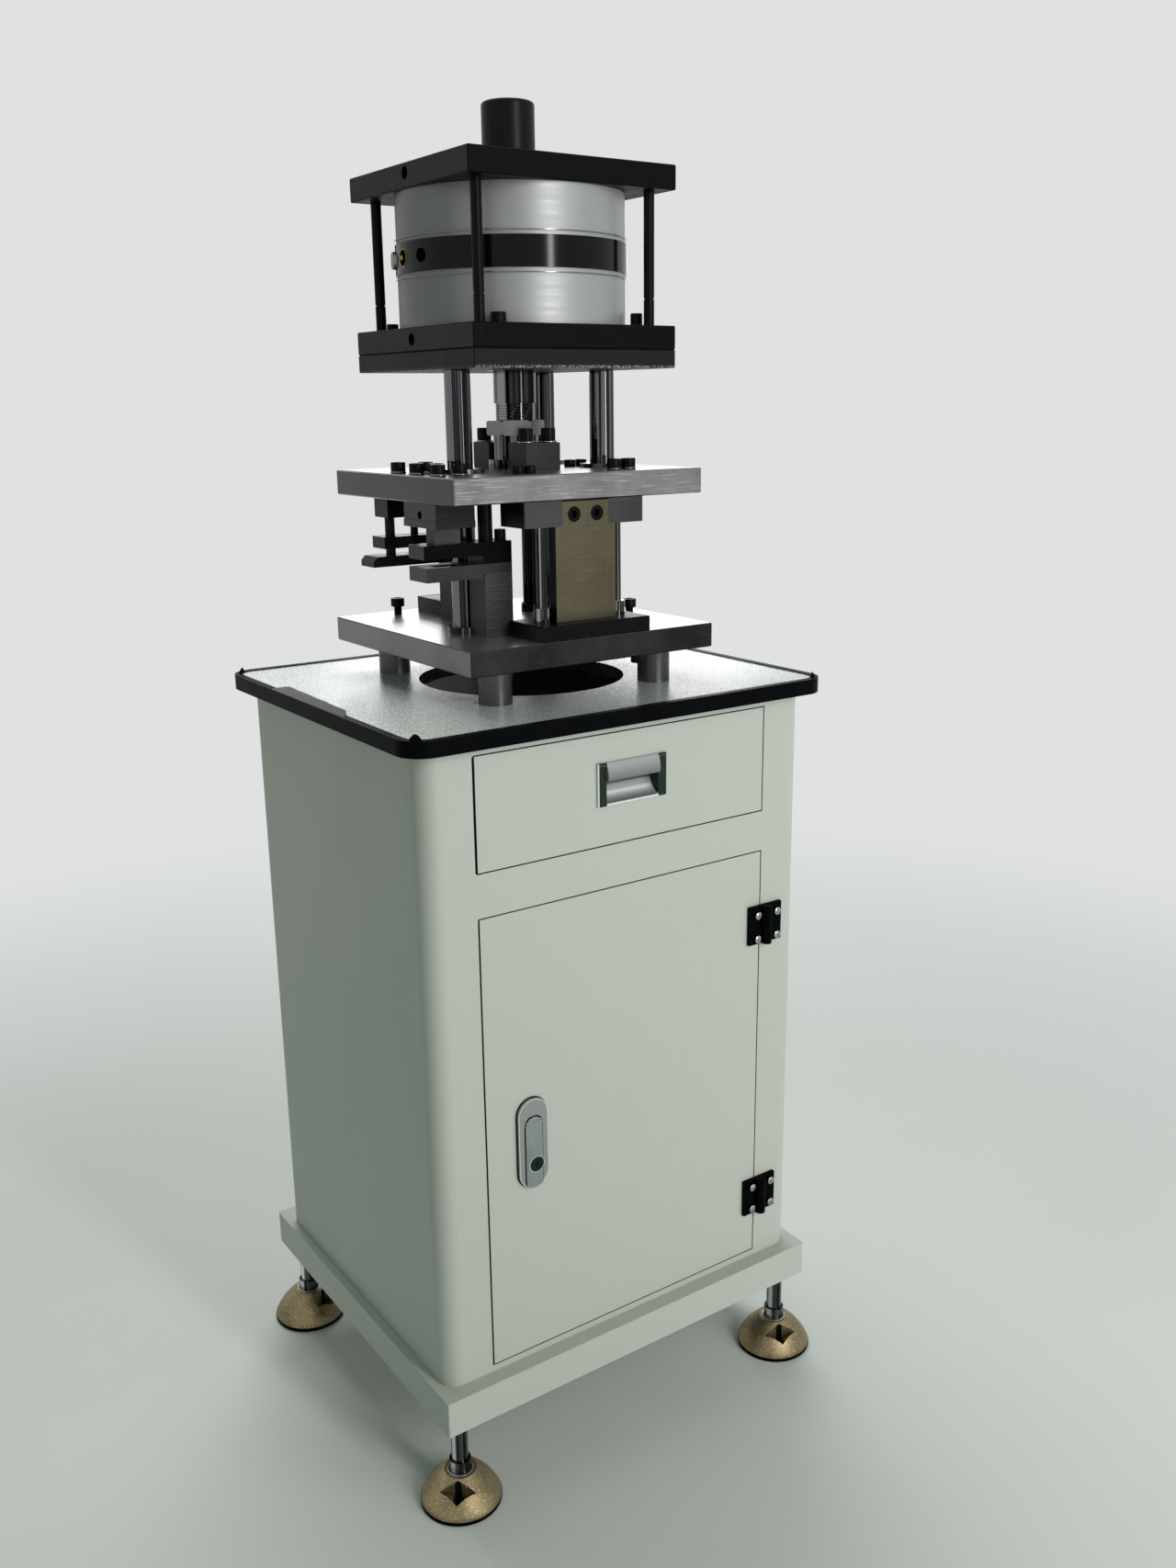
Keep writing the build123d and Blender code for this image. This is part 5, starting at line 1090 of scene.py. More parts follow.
@dataclass
class Fasteners(SubAssembly):
    """Cap screws, washers and hinge screws of the whole machine, in millimetres, with turns in radians."""

    head_radius: float = 8.1
    head_height: float = 9.9
    tall_head: float = 13.9
    base_head: float = 10.9
    jaw_head: float = 9.9
    small_radius: float = 6.6
    small_height: float = 7.9
    jaw_radius: float = 6.3
    next_turn: float = 0.7
    washer: float = 2.0
    plate_washer_radius: float = 8.8
    clamp_washer_radius: float = 9.8
    base: Points = ((-84.6, -108.0), (84.6, 108.0))
    base_small: tuple[tuple[float, float, float], ...] = ((-102.0, 94.0, 7.9), (104.0, -92.0, 14.4))
    stops: Points = ((-90.4, 137.0), (125.0, -48.0))
    stop_stand: float = 9.3
    shank_radius: float = 5.0
    shank_depth: float = 0.6
    shank_pitch: float = 1.5
    shank_sunk: float = 1.0
    under: tuple[float, float] = (57.0, -154.0)
    plate: Points = ((-145.0, 13.0), (-145.0, -30.0), (-145.0, -77.0), (-120.0, -4.0),
                     (-131.0, -48.0), (-120.0, -80.0), (66.0, -100.0), (86.0, -100.0))
    small: Points = ((-60.0, -100.0), (-45.3, -100.0), (74.0, 0.0), (90.0, 0.0))
    jaw: tuple[float, float] = (-73.0, -80.0)
    clamp_x: float = 15.0
    clamp_y: float = 45.0
    punch_x: float = 15.0
    punch_drop: float = 15.0
    punch_depth: float = 0.6
    hinge_x: float = 199.5
    hinge_reach: float = 15.0
    hinge_leaf_face: float = 8.4
    hinge_half_height: float = 25.0
    hinge_half_pitch: float = 15.0
    hinge_screw_radius: float = 4.7
    hinge_screw_height: float = 2.0
    hinge_screw_turn: float = 0.35
    hinge_leaf_reach: float = 9.0

    def build(self) -> None:
        """Make every row of screws and the washers under them."""
        self.frame_screws()
        self.press_screws()
        self.hinge_screws()

    def row(self, body: Body, name: str, places: Iterable[tuple[float, float]], seat: float, radius: float,
            height: float, *stands_for: str, turn: Euler = Euler((0.0, 0.0, 0.0)), finish: Finish = OXIDE,
            slot: Slot = Slot.BLACK_STEEL, shape: Callable[[], bmesh.types.BMesh] = screw_head_shape) -> None:
        """Add a row of upright fasteners on one level.

        Args:
            body: Body that the row moves with.
            name: Name of the piece.
            places: Axes, in millimetres.
            seat: Level of the seats, in metres.
            radius: Radius, in millimetres.
            height: Height, in millimetres.
            stands_for: CAD nodes that the row replaces.
            turn: Turn of the first fastener.
            finish: Finish of the fasteners.
            slot: Record slot of the finish.
            shape: Maker of the unit fastener.
        """
        fasteners = FastenerRow(name, shape, finish, radius * MM, height * MM)
        seats = [(Vector((x * MM, y * MM, seat)), Euler((turn.x, turn.y, turn.z + self.next_turn * index)))
                 for index, (x, y) in enumerate(places)]
        self.add(fasteners.build(seats), body.value, slot, *stands_for)

    def frame_screws(self) -> None:
        """Screws in the cylinder base, in and under the bed and on the upper jaw."""
        body = Body.FRAME
        base_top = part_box("cylinder_base")[1].z
        bed_low, bed_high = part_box("lower_plate")
        self.row(body, "base_screw_heads", self.base, base_top, self.head_radius, self.base_head,
                 "frame_screws")
        for side, (x, y, height) in zip(("left", "right"), self.base_small):
            self.row(body, f"base_screw_head_{side}", [(x, y)], base_top, self.small_radius, height)
        stop_seat = bed_high.z + self.stop_stand * MM
        self.row(body, "stop_screw_heads", self.stops, stop_seat, self.head_radius, self.head_height)
        for side, (x, y) in zip(("left", "right"), self.stops):
            axis = Vector((x * MM, y * MM, 0.0))
            shank = thread_sleeve(self.shank_radius * MM, self.shank_depth * MM, self.shank_pitch * MM,
                                  bed_high.z - self.shank_sunk * MM, stop_seat, axis, 24)
            self.make(f"stop_screw_shank_{side}", shank, OXIDE, body, Slot.BLACK_STEEL)
        self.row(body, "under_screw_head", [self.under], bed_low.z, self.small_radius, self.small_height,
                 turn=Euler((math.pi, 0.0, 0.0)))
        jaw_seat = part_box("upper_jaw")[1].z
        self.row(body, "jaw_screw_washer", [self.jaw], jaw_seat, self.small_radius, self.washer,
                 shape=washer_shape)
        self.row(body, "jaw_screw_head", [self.jaw], jaw_seat + self.washer * MM, self.jaw_radius,
                 self.jaw_head)

    def press_screws(self) -> None:
        """Screws on the middle plate, in the clamps and in the punch plate."""
        body = Body.PRESS
        plate_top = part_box("middle_plate")[1].z
        clamp_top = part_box("clamp_blocks")[1].z
        clamps = [(x, y) for x in (-self.clamp_x, self.clamp_x) for y in (-self.clamp_y, self.clamp_y)]
        self.row(body, "plate_screw_heads", self.plate, plate_top + self.washer * MM, self.head_radius,
                 self.head_height, "press_screws")
        self.row(body, "small_screw_heads", self.small, plate_top, self.small_radius, self.small_height)
        self.row(body, "clamp_screw_heads", clamps, clamp_top + self.washer * MM, self.head_radius,
                 self.tall_head)
        self.row(body, "plate_washers", self.plate, plate_top, self.plate_washer_radius, self.washer,
                 finish=STUD, slot=Slot.STUD_STEEL, shape=washer_shape)
        self.row(body, "clamp_washers", clamps, clamp_top, self.clamp_washer_radius, self.washer,
                 finish=SCREW_ZINC, slot=Slot.STUD_STEEL, shape=washer_shape)
        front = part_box("punch_plate")[0].y + (self.head_height + self.punch_depth) * MM
        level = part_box("middle_plate")[0].z - self.punch_drop * MM
        row = FastenerRow("punch_screw_heads", screw_head_shape, OXIDE, self.head_radius * MM,
                          self.head_height * MM)
        forward = Euler((math.pi / 2, 0.0, 0.0))
        punch = [(Vector((x * MM, front, level)), forward) for x in (-self.punch_x, self.punch_x)]
        self.add(row.build(punch), body.value, Slot.BLACK_STEEL)

    def hinge_screws(self) -> None:
        """Two domed cross-recess screws in each hinge leaf."""
        for node, body, side in (("hinge_frame_leaves", Body.FRAME, 1), ("hinge_door_leaves", Body.DOOR, -1)):
            low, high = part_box(node)
            x = (self.hinge_x + side * self.hinge_reach) * MM
            seats = []
            for middle in (low.z + self.hinge_half_height * MM, high.z - self.hinge_half_height * MM):
                for rise in (-self.hinge_half_pitch * MM, self.hinge_half_pitch * MM):
                    place = Vector((x, self.leaf_face(node), middle + rise))
                    seats.append((place, Euler((math.pi / 2, self.hinge_screw_turn * len(seats), 0.0))))
            row = FastenerRow(f"{node}_screws", cross_screw_shape, SCREW_ZINC, self.hinge_screw_radius * MM,
                              self.hinge_screw_height * MM)
            self.add(row.build(seats), body.value, Slot.STUD_STEEL)

    def leaf_face(self, node: str) -> float:
        """Front of a hinge leaf beside its knuckle, read from the node's corners."""
        reach = (self.hinge_x + (1 if "frame" in node else -1) * self.hinge_reach) * MM
        near = [vertex.co.y for vertex in frame["nodes"][node].data.vertices
                if abs(vertex.co.x - reach) < self.hinge_leaf_reach * MM]
        return min(near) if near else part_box(node)[0].y + self.hinge_leaf_face * MM


@dataclass
class CastFoot:
    """Cast foot with a pointed anchor pocket and a bore, in millimetres."""

    pad_radius: float = 46.5
    edge_height: float = 6.0
    edge_bevel: float = 1.5
    top_radius: float = 18.5
    height: float = 40.0
    bulge: float = 2.0
    socket_radius: float = 14.0
    socket_depth: float = 12.0
    pocket_out: float = 38.5
    pocket_in: float = 21.0
    pocket_side: float = 21.0
    pocket_middle: float = 25.5
    pocket_floor: float = 15.5
    bore_radius: float = 6.0
    bore_out: float = 26.5
    bore_depth: float = 10.0
    columns: int = 144
    rows: int = 7
    bore_spread: float = 1.02
    bore_top: float = 32.0
    bore_foot: float = 3.0
    wall_slope: float = 0.3
    floor_margin: float = 2.0

    def flank_circle(self) -> tuple[float, float, float]:
        """Centre and radius of the circle through the flank's ends and its bowed middle."""
        ax, az = self.pad_radius, self.edge_height
        bx, bz = (ax + self.top_radius) / 2 + self.bulge, (az + self.height) / 2 + self.bulge
        cx, cz = self.top_radius, self.height
        span = 2 * (ax * (bz - cz) + bx * (cz - az) + cx * (az - bz))
        a2, b2, c2 = ax * ax + az * az, bx * bx + bz * bz, cx * cx + cz * cz
        x = (a2 * (bz - cz) + b2 * (cz - az) + c2 * (az - bz)) / span
        z = (a2 * (cx - bx) + b2 * (ax - cx) + c2 * (bx - ax)) / span
        return x, z, math.hypot(ax - x, az - z)

    def level(self, radius: float) -> float:
        """Height of the flank at a radius."""
        x, z, reach = self.flank_circle()
        return z + math.sqrt(max(reach * reach - (radius - x) ** 2, 0.0))

    def walls(self, angle: float) -> tuple[float, float]:
        """Where a ray from the axis enters and leaves the pocket.

        Args:
            angle: Angle of the ray from the pocket's middle.

        Returns:
            Outer and inner radius, the same where the ray misses the pocket.
        """
        limit = math.atan2(self.pocket_side, self.pocket_middle)
        if abs(angle) >= limit:
            at_corner = math.hypot(self.pocket_side, self.pocket_middle)
            return at_corner, at_corner
        reaches = []
        for tip in (self.pocket_out, self.pocket_in):
            slope = (self.pocket_middle - tip) / self.pocket_side
            reaches.append(tip / (math.cos(angle) - slope * abs(math.sin(angle))))
        return reaches[0], reaches[1]

    def column(self, angle: float) -> list[tuple[float, float]]:
        """Points of radius and height from the foot's underside to its socket.

        Args:
            angle: Angle from the pocket's middle.

        Returns:
            The column's points, as many for every angle.
        """
        outer, inner = self.walls(angle)
        open_here = outer > inner
        brim = self.level(outer)
        floor = min(self.pocket_floor, brim) if open_here else brim
        near, sunk = inner, floor
        across = self.bore_out * math.sin(angle)
        if open_here and abs(across) < self.bore_radius and math.cos(angle) > 0:
            half = math.sqrt(self.bore_radius ** 2 - across ** 2)
            near = min(self.bore_out * math.cos(angle) + half, outer)
            inner = min(inner, self.bore_out * math.cos(angle) - half)
            sunk = floor - self.bore_depth
        points = [(0.0, 0.0), (self.pad_radius - self.edge_bevel, 0.0), (self.pad_radius, self.edge_bevel)]
        for row in range(self.rows + 1):
            radius = self.pad_radius + (outer - self.pad_radius) * row / self.rows
            points.append((radius, self.level(radius)))
        points += [(outer, floor), (near, floor), (near, sunk), (inner, sunk), (inner, floor)]
        for row in range(self.rows + 1):
            radius = inner + (self.top_radius - inner) * row / self.rows
            points.append((radius, self.level(radius)))
        base = self.height - self.socket_depth
        points += [(self.socket_radius, self.height), (self.socket_radius, base), (0.0, base)]
        return points

    def shape(self, foot: Vector, facing: float) -> bmesh.types.BMesh:
        """Closed shape of the foot.

        Args:
            foot: Middle of the underside.
            facing: Direction of the pocket, in radians.

        Returns:
            The shape.
        """
        shape = bmesh.new()
        grid = []
        for step in range(self.columns):
            angle = 2 * math.pi * step / self.columns
            signed = math.atan2(math.sin(angle), math.cos(angle))
            grid.append([shape.verts.new(foot + Vector((radius * math.cos(facing + angle),
                                                        radius * math.sin(facing + angle), height)) * MM)
                         for radius, height in self.column(signed)])
        for here, there in zip(grid, grid[1:] + grid[:1]):
            band(shape, here, there, closed=False)
        bmesh.ops.remove_doubles(shape, verts=shape.verts, dist=WELD)
        bmesh.ops.dissolve_degenerate(shape, dist=NO_LENGTH, edges=shape.edges)
        return shape

    def paint_bore_shade(self, piece: bpy.types.Object, foot: Vector, facing: float) -> None:
        """Paint shade on the faces inside the bore with a second, dark material.

        Args:
            piece: The foot.
            foot: Middle of the underside.
            facing: Direction of the pocket, in radians.
        """
        # Painted shade inside the bore: faces there take the dark material.
        piece.data.materials.append(GASKET_AND_SHADE.material())
        middle = foot + Vector((math.cos(facing), math.sin(facing), 0)) * self.bore_out * MM
        for face in piece.data.polygons:
            away = (face.center - middle).to_2d().length
            inside = away < self.bore_radius * MM * self.bore_spread and face.center.z < self.bore_top * MM
            floor = (self.pocket_floor - self.floor_margin) * MM
            wall = abs(face.normal.z) < self.wall_slope or face.center.z < floor
            if inside and wall and face.center.z > self.bore_foot * MM:
                face.material_index = 1


@dataclass
class Stand(SubAssembly):
    """Feet with a dark ring round their lower edge and the threaded stretch of the studs."""

    turns: tuple[tuple[Corner, float], ...] = ((Corner.FRONT_LEFT, -37.0), (Corner.FRONT_RIGHT, -22.0),
                                               (Corner.BACK_LEFT, 32.0), (Corner.BACK_RIGHT, 0.0))
    cast_smooth: float = 32.0
    thread_smooth: float = 20.0
    edge_ring_radius: float = 46.9 * MM
    edge_ring_height: float = 5.6 * MM
    edge_ring_width: float = 3.0 * MM
    edge_ring_round: float = 0.8 * MM
    ring_inside: float = 13.2 * MM
    ring_outside: float = 15.4 * MM
    ring_round: float = 14.8 * MM
    collar_radius: float = 12.6 * MM
    collar_sunk: float = 11.0 * MM
    collar_length: float = 25.0 * MM
    thread_pitch: float = 2.5 * MM
    thread_depth: float = 1.0 * MM

    def build(self) -> None:
        """Add the casting, the edge, the bright top ring and the collar thread of each foot."""
        cast = CastFoot()
        r, h, edge_round = self.edge_ring_radius, self.edge_ring_height, self.edge_ring_round
        for corner, turn in self.turns:
            body = Body(f"foot_{corner.value}")
            low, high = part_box(f"foot_pad_{corner.value}")
            centre = (low + high) / 2
            foot = Vector((centre.x, centre.y, 0.0))
            facing = math.radians(turn - 90.0)
            piece = settled(f"foot_cast_{corner.value}", cast.shape(foot, facing), CAST, self.cast_smooth)
            cast.paint_bore_shade(piece, foot, facing)
            self.add(piece, body.value, Slot.YELLOW_ZINC, f"foot_pad_{corner.value}")
            top = high.z
            ring = lathe(((self.ring_inside, top - 1.0 * MM), (self.ring_outside, top - 1.0 * MM),
                          (self.ring_outside, top + 0.2 * MM), (self.ring_round, top + 0.6 * MM),
                          (self.ring_inside, top + 0.6 * MM)), foot)
            self.make(f"foot_ring_{corner.value}", ring, NICKEL, body, Slot.SATIN_NICKEL)
            edge = lathe(((r - self.edge_ring_width, 0.0), (r - edge_round, 0.0), (r, edge_round),
                          (r, h - edge_round), (r - edge_round, h), (r - self.edge_ring_width, h)), foot, 64)
            self.make(f"foot_edge_{corner.value}", edge, EDGING, body, Slot.BLACK_EDGING)
            collar_low = high.z - self.collar_sunk
            collar = thread_sleeve(self.collar_radius, self.thread_depth, self.thread_pitch, collar_low,
                                   collar_low + self.collar_length, foot, 36)
            self.make(f"stud_collar_{corner.value}", collar, OXIDE, body, Slot.BLACK_STEEL,
                      self.thread_smooth)


@dataclass
class Coupling(SubAssembly):
    """Threaded stretch of the press rod."""

    thread_radius: float = 22.3 * MM
    pitch: float = 3.0 * MM
    depth: float = 1.6 * MM
    sunk: float = 6.0 * MM
    show: float = 18.7 * MM
    thread_smooth: float = 20.0

    def build(self) -> None:
        """Wrap the rod's lower stretch in a real thread."""
        nut_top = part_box("jam_nut")[1].z
        thread = thread_sleeve(self.thread_radius, self.depth, self.pitch, nut_top - self.sunk,
                               nut_top + self.show, around=64, per_turn=8)
        self.make("rod_thread", thread, STUD, Body.PRESS, Slot.STUD_STEEL, self.thread_smooth)


@dataclass
class RingPlug(SubAssembly):
    """Round plug, rimmed port and plain bleed hole in the dividing ring, with the port's face and the hole
    painted dark as shade, and painted highlights on the ring's edges.
    """

    plug_azimuth: float = 158.0
    plug_radius: float = 9.3 * MM
    plug_sunk: float = 3.0 * MM
    stand: float = 4.2 * MM
    port_azimuth: float = 174.0
    port_radius: float = 9.6 * MM
    port_sunk: float = 2.0 * MM
    core_radius: float = 2.6 * MM
    core_sunk: float = 1.4 * MM
    hole_azimuth: float = 190.5
    hole_radius: float = 7.2 * MM
    hole_sunk: float = 0.3 * MM
    edge_height: float = 0.8 * MM
    edge_inside: float = 0.6 * MM
    edge_proud: float = 0.12 * MM
    radius: float = field(init=False, default=0.0)
    middle: float = field(init=False, default=0.0)

    def build(self) -> None:
        """Add the plug, the port, the hole and the painted highlights on the edges."""
        low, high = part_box("divider_ring")
        self.radius = (high.x - low.x) / 2
        self.middle = (low.z + high.z) / 2
        r, s, sunk = self.plug_radius, self.stand, self.plug_sunk
        plug = ((0.0, 0.0), (r, 0.0), (r, sunk + s * 0.7), (r - 1.2 * MM, sunk + s), (r * 0.55, sunk + s),
                (r * 0.45, 2.0 * MM + s), (0.0, 2.0 * MM + s))
        self.turned("ring_plug", plug, self.plug_azimuth, sunk, PLUG_NICKEL, Slot.YELLOW_ZINC)
        r = self.port_radius
        rim = ((r - 1.0 * MM, 0.0), (r, 0.0), (r, 2.3 * MM), (r - 0.3 * MM, 2.6 * MM),
               (r - 1.0 * MM, 2.4 * MM))
        self.turned("ring_port_rim", rim, self.port_azimuth, self.port_sunk, BRASS_PLUG, Slot.YELLOW_ZINC)
        # The port's face is a dark disc: painted shade in the port.
        port = ((0.0, 0.0), (r - 0.9 * MM, 0.0), (r - 0.9 * MM, 2.4 * MM), (r * 0.6, 2.2 * MM),
                (0.0, 2.2 * MM))
        self.turned("ring_port", port, self.port_azimuth, self.port_sunk, PORT_SHADE, Slot.BLACK_EDGING)
        core = ((0.0, 0.0), (self.core_radius, 0.0), (self.core_radius, 3.2 * MM), (1.6 * MM, 4.0 * MM),
                (0.0, 4.1 * MM))
        self.turned("ring_port_core", core, self.port_azimuth, self.core_sunk, BRASS_PLUG, Slot.YELLOW_ZINC)
        r = self.hole_radius
        # The bleed hole is a dark disc: painted shade in the hole.
        hole = ((0.0, 0.0), (r, 0.0), (r, 0.6 * MM), (r * 0.9, 0.5 * MM), (0.0, 0.3 * MM))
        self.turned("ring_hole", hole, self.hole_azimuth, self.hole_sunk, PORT_SHADE, Slot.BLACK_EDGING)
        # Thin bright bands on the ring's lower and upper edges: painted highlights.
        inside, outside = self.radius - self.edge_inside, self.radius + self.edge_proud
        for name, level in (("low", low.z), ("high", high.z - self.edge_height)):
            above = level + self.edge_height
            edge = lathe(((inside, level), (outside, level), (outside, above), (inside, above)), segments=128)
            self.make(f"ring_edge_{name}", edge, STUD, Body.FRAME, Slot.CYLINDER_ALUMINIUM)

    def turned(self, name: str, profile: Points, azimuth: float, sunk: float, finish: Finish,
               slot: Slot) -> None:
        """Turned piece that points outwards from the ring.

        Args:
            name: Name of the piece.
            profile: Its radius and height points.
            azimuth: Place round the ring, in degrees.
            sunk: How deep its foot lies in the ring.
            finish: Its finish.
            slot: Record slot of the finish.
        """
        angle = math.radians(azimuth)
        reach = self.radius - sunk
        turn = Matrix.Rotation(angle, 4, "Z") @ Matrix.Rotation(math.pi / 2, 4, "Y")
        place = Matrix.Translation((reach * math.cos(angle), reach * math.sin(angle), self.middle)) @ turn
        self.make(name, placed(lathe(profile, segments=40), place), finish, Body.FRAME, slot)


@dataclass
class WorktopEdge(SubAssembly):
    """Puckers and the loose lip of the rubber edging."""

    puckers: tuple[tuple[float, float, float], ...] = ((-262.0, -224.0, -45.0), (262.0, -224.0, 45.0),
                                                       (-262.0, 224.0, 45.0), (262.0, 224.0, -45.0))
    pucker_length: float = 15.0
    pucker_width: float = 7.0
    pucker_height: float = 6.5
    lip_back: float = 100.0
    lip_front: float = -88.0
    lip_width: float = 17.0
    lip_rise: float = 3.6
    lip_steps: int = 40
    pucker_smooth: float = 70.0
    lip_smooth: float = 60.0

    def build(self) -> None:
        """Add a pinched fold at each corner and the lip that lies flat on the left."""
        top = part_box("edge_trim")[1].z
        for index, (x, y, turn) in enumerate(self.puckers):
            fold = self.pucker(index)
            place = (Matrix.Translation((x * MM, y * MM, top - 0.4 * MM))
                     @ Matrix.Rotation(math.radians(turn), 4, "Z"))
            self.make(f"edging_pucker_{index}", placed(fold, place), EDGING, Body.FRAME, Slot.BLACK_EDGING,
                      self.pucker_smooth)
        self.loose_lip(top)

    def pucker(self, seed: int) -> bmesh.types.BMesh:
        """Pinched fold of rubber that stands up, lying along the X axis.

        Args:
            seed: Number that makes each fold a little different.

        Returns:
            The closed fold.
        """
        across, along = 12, 14
        lean = 0.18 * math.sin(1.7 * seed + 0.4)
        shape = bmesh.new()
        grid = []
        for row in range(along + 1):
            u = 2 * row / along - 1
            line = []
            for column in range(across + 1):
                v = 2 * column / across - 1
                rise = (1 - abs(u) ** 1.6) * max(0.0, 1 - abs(v) ** 0.9) ** 0.8
                width = self.pucker_width / 2 * (1 - 0.45 * u * u)
                line.append(shape.verts.new((self.pucker_length / 2 * u * MM,
                                             (width * v + lean * self.pucker_height * rise) * MM,
                                             self.pucker_height * rise * MM)))
            grid.append(line)
        low = [[shape.verts.new((vertex.co.x, vertex.co.y, -0.3 * MM)) for vertex in line] for line in grid]
        for rows, flip in ((grid, False), (low, True)):
            for row in range(along):
                for column in range(across):
                    face = (rows[row][column], rows[row + 1][column], rows[row + 1][column + 1],
                            rows[row][column + 1])
                    shape.faces.new(tuple(reversed(face)) if flip else face)
        rim = ([(row, 0) for row in range(along)] + [(along, column) for column in range(across)]
               + [(row, across) for row in range(along, 0, -1)]
               + [(0, column) for column in range(across, 0, -1)])
        for here, there in zip(rim, rim[1:] + rim[:1]):
            shape.faces.new((grid[here[0]][here[1]], grid[there[0]][there[1]], low[there[0]][there[1]],
                             low[here[0]][here[1]]))
        return shape

    def loose_lip(self, top: float) -> None:
        """Stretch of lip that has come loose and lies flat along the left edge, dusty, its grey a painted
        reflection.

        Args:
            top: Top of the edging.
        """
        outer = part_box("edge_trim")[0].x + 0.3 * MM
        shape = bmesh.new()
        loops = []
        for step in range(self.lip_steps + 1):
            u = step / self.lip_steps
            y = (self.lip_back + (self.lip_front - self.lip_back) * u) * MM
            taper = min(1.0, 16.0 * u, 9.0 * (1 - u)) ** 0.6
            width = self.lip_width * MM * taper * (1 - 0.22 * u + 0.02 * math.sin(23 * u)) + 0.4 * MM
            rise = self.lip_rise * MM * taper * (1 - 0.25 * u)
            section = ((outer, top - 0.5 * MM), (outer, top + 0.4 * MM), (outer + width * 0.9, top + rise),
                       (outer + width, top + rise * 0.9), (outer + width, top - 0.7 * MM))
            loops.append([shape.verts.new((x, y, z)) for x, z in section])
        skin(shape, loops)
        self.make("loose_edging_lip", shape, DUSTY_SHEEN_LIP, Body.FRAME, Slot.BLACK_EDGING, self.lip_smooth)


@dataclass
class DrawerPull(SubAssembly):
    """Painted highlights on the rims of the sunk pull, in millimetres."""

    lip: float = 2.2
    rim: float = 1.3
    arch_width: float = 0.5
    arch_rise: float = 0.45
    arch_steps: int = 12

    def build(self) -> None:
        """Add the lower lip and the rim on the left as painted highlights, and an arch line on each cap."""
        low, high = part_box("pull_caps")
        shell_low, shell_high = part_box("drawer_pull")
        front = low.y
        lip = self.lip * MM
        # The bright lower lip and left rim are painted highlights.
        self.bar("pull_lower_lip", (shell_low.x, shell_high.x), (front - 0.5 * MM, front + 1.2 * MM),
                 (low.z + 0.2 * MM, low.z + 0.2 * MM + lip))
        self.bar("pull_left_rim", (low.x - 0.1 * MM, low.x + self.rim * MM),
                 (front - 0.1 * MM, front + 2.8 * MM), (low.z, high.z))
        for name, x0, x1 in (("left", low.x, shell_low.x), ("right", shell_high.x, high.x)):
            self.arch_line(name, x0 + 1.2 * MM, x1 - 1.0 * MM, front, high.z - 2.0 * MM)

    def bar(self, name: str, across: tuple[float, float], deep: tuple[float, float],
            tall: tuple[float, float]) -> None:
        """Slim bar with plain edges in the bright painted-highlight finish.

        Args:
            name: Name of the piece.
            across: Its ends along X.
            deep: Its faces along Y.
            tall: Its faces along Z.
        """
        outline = [(across[0], deep[0]), (across[1], deep[0]), (across[1], deep[1]), (across[0], deep[1])]
        shape = prism(outline, tall[1] - tall[0])
        bar = placed(shape, Matrix.Translation((0, 0, tall[0])))
        self.make(name, bar, RIM_HIGHLIGHT, Body.DRAWER, Slot.SATIN_NICKEL)

    def arch_line(self, side: str, x0: float, x1: float, front: float, top: float) -> None:
        """Thin raised arch near the top of an end cap.

        Args:
            side: Which cap.
            x0: Left end.
            x1: Right end.
            front: Face of the cap.
            top: Crown of the arch.
        """
        half = (x1 - x0) / 2
        flat = self.arch_rise
        outer, inner = [], []
        for step in range(self.arch_steps + 1):
            angle = math.pi * step / self.arch_steps
            for reach, line in ((half, outer), (half - self.arch_width * MM, inner)):
                line.append(((x0 + x1) / 2 + reach * math.cos(angle),
                             top - half * flat + reach * flat * math.sin(angle)))
        arch = upright(prism(outer + list(reversed(inner)), 0.3 * MM), 0, front + 0.05 * MM, 0)
        self.make(f"pull_cap_arch_{side}", arch, NICKEL, Body.DRAWER, Slot.SATIN_NICKEL)


@dataclass
class PanelGapShade(SubAssembly):
    """Dark strips in the gaps round the drawer front and the door, painted shade, in millimetres."""

    gap: float = 1.5
    width: float = 1.2
    sunk: float = 0.5
    depth: float = 2.5
    drawer_left_shade: float = 1.5
    door_left_shade: float = 0.6
    proud: float = 0.12

    def build(self) -> None:
        """Add one dark ring in each gap and a wider dark strip on its left, as painted shade."""
        for node, lip in (("drawer_front", self.drawer_left_shade), ("door_panel", self.door_left_shade)):
            low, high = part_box(node)
            self.ring(f"{node}_seal", low, high)
            # Wider dark strip on the left of the gap: painted shade.
            x1 = low.x - (self.gap - self.width) * MM
            x0 = low.x - (self.gap + lip) * MM
            face = low.y - self.proud * MM
            outline = [(x0, face), (x1, face), (x1, low.y + self.depth * MM), (x0, low.y + 0.1 * MM)]
            strip = placed(prism(outline, high.z - low.z), Matrix.Translation((0, 0, low.z)))
            self.make(f"{node}_seal_lip", strip, GASKET_AND_SHADE, Body.FRAME, Slot.BLACK_EDGING)

    def ring(self, name: str, low: Vector, high: Vector) -> None:
        """Rectangular dark ring that stands on the opening's edge, as painted shade in the gap.

        Args:
            name: Name of the piece.
            low: Lowest corner of the panel.
            high: Highest corner of the panel.
        """
        outer, inner = self.gap * MM - 0.02 * MM, (self.gap - self.width) * MM
        shape = bmesh.new()
        loops = []
        for reach, y in ((outer, self.sunk), (inner, self.sunk), (inner, self.sunk + self.depth),
                         (outer, self.sunk + self.depth)):
            level = low.y + y * MM
            loops.append([shape.verts.new(corner) for corner in
                          ((low.x - reach, level, low.z - reach), (high.x + reach, level, low.z - reach),
                           (high.x + reach, level, high.z + reach), (low.x - reach, level, high.z + reach))])
        skin(shape, loops, wrapped=True)
        self.make(name, shape, GASKET_AND_SHADE, Body.FRAME, Slot.BLACK_EDGING)


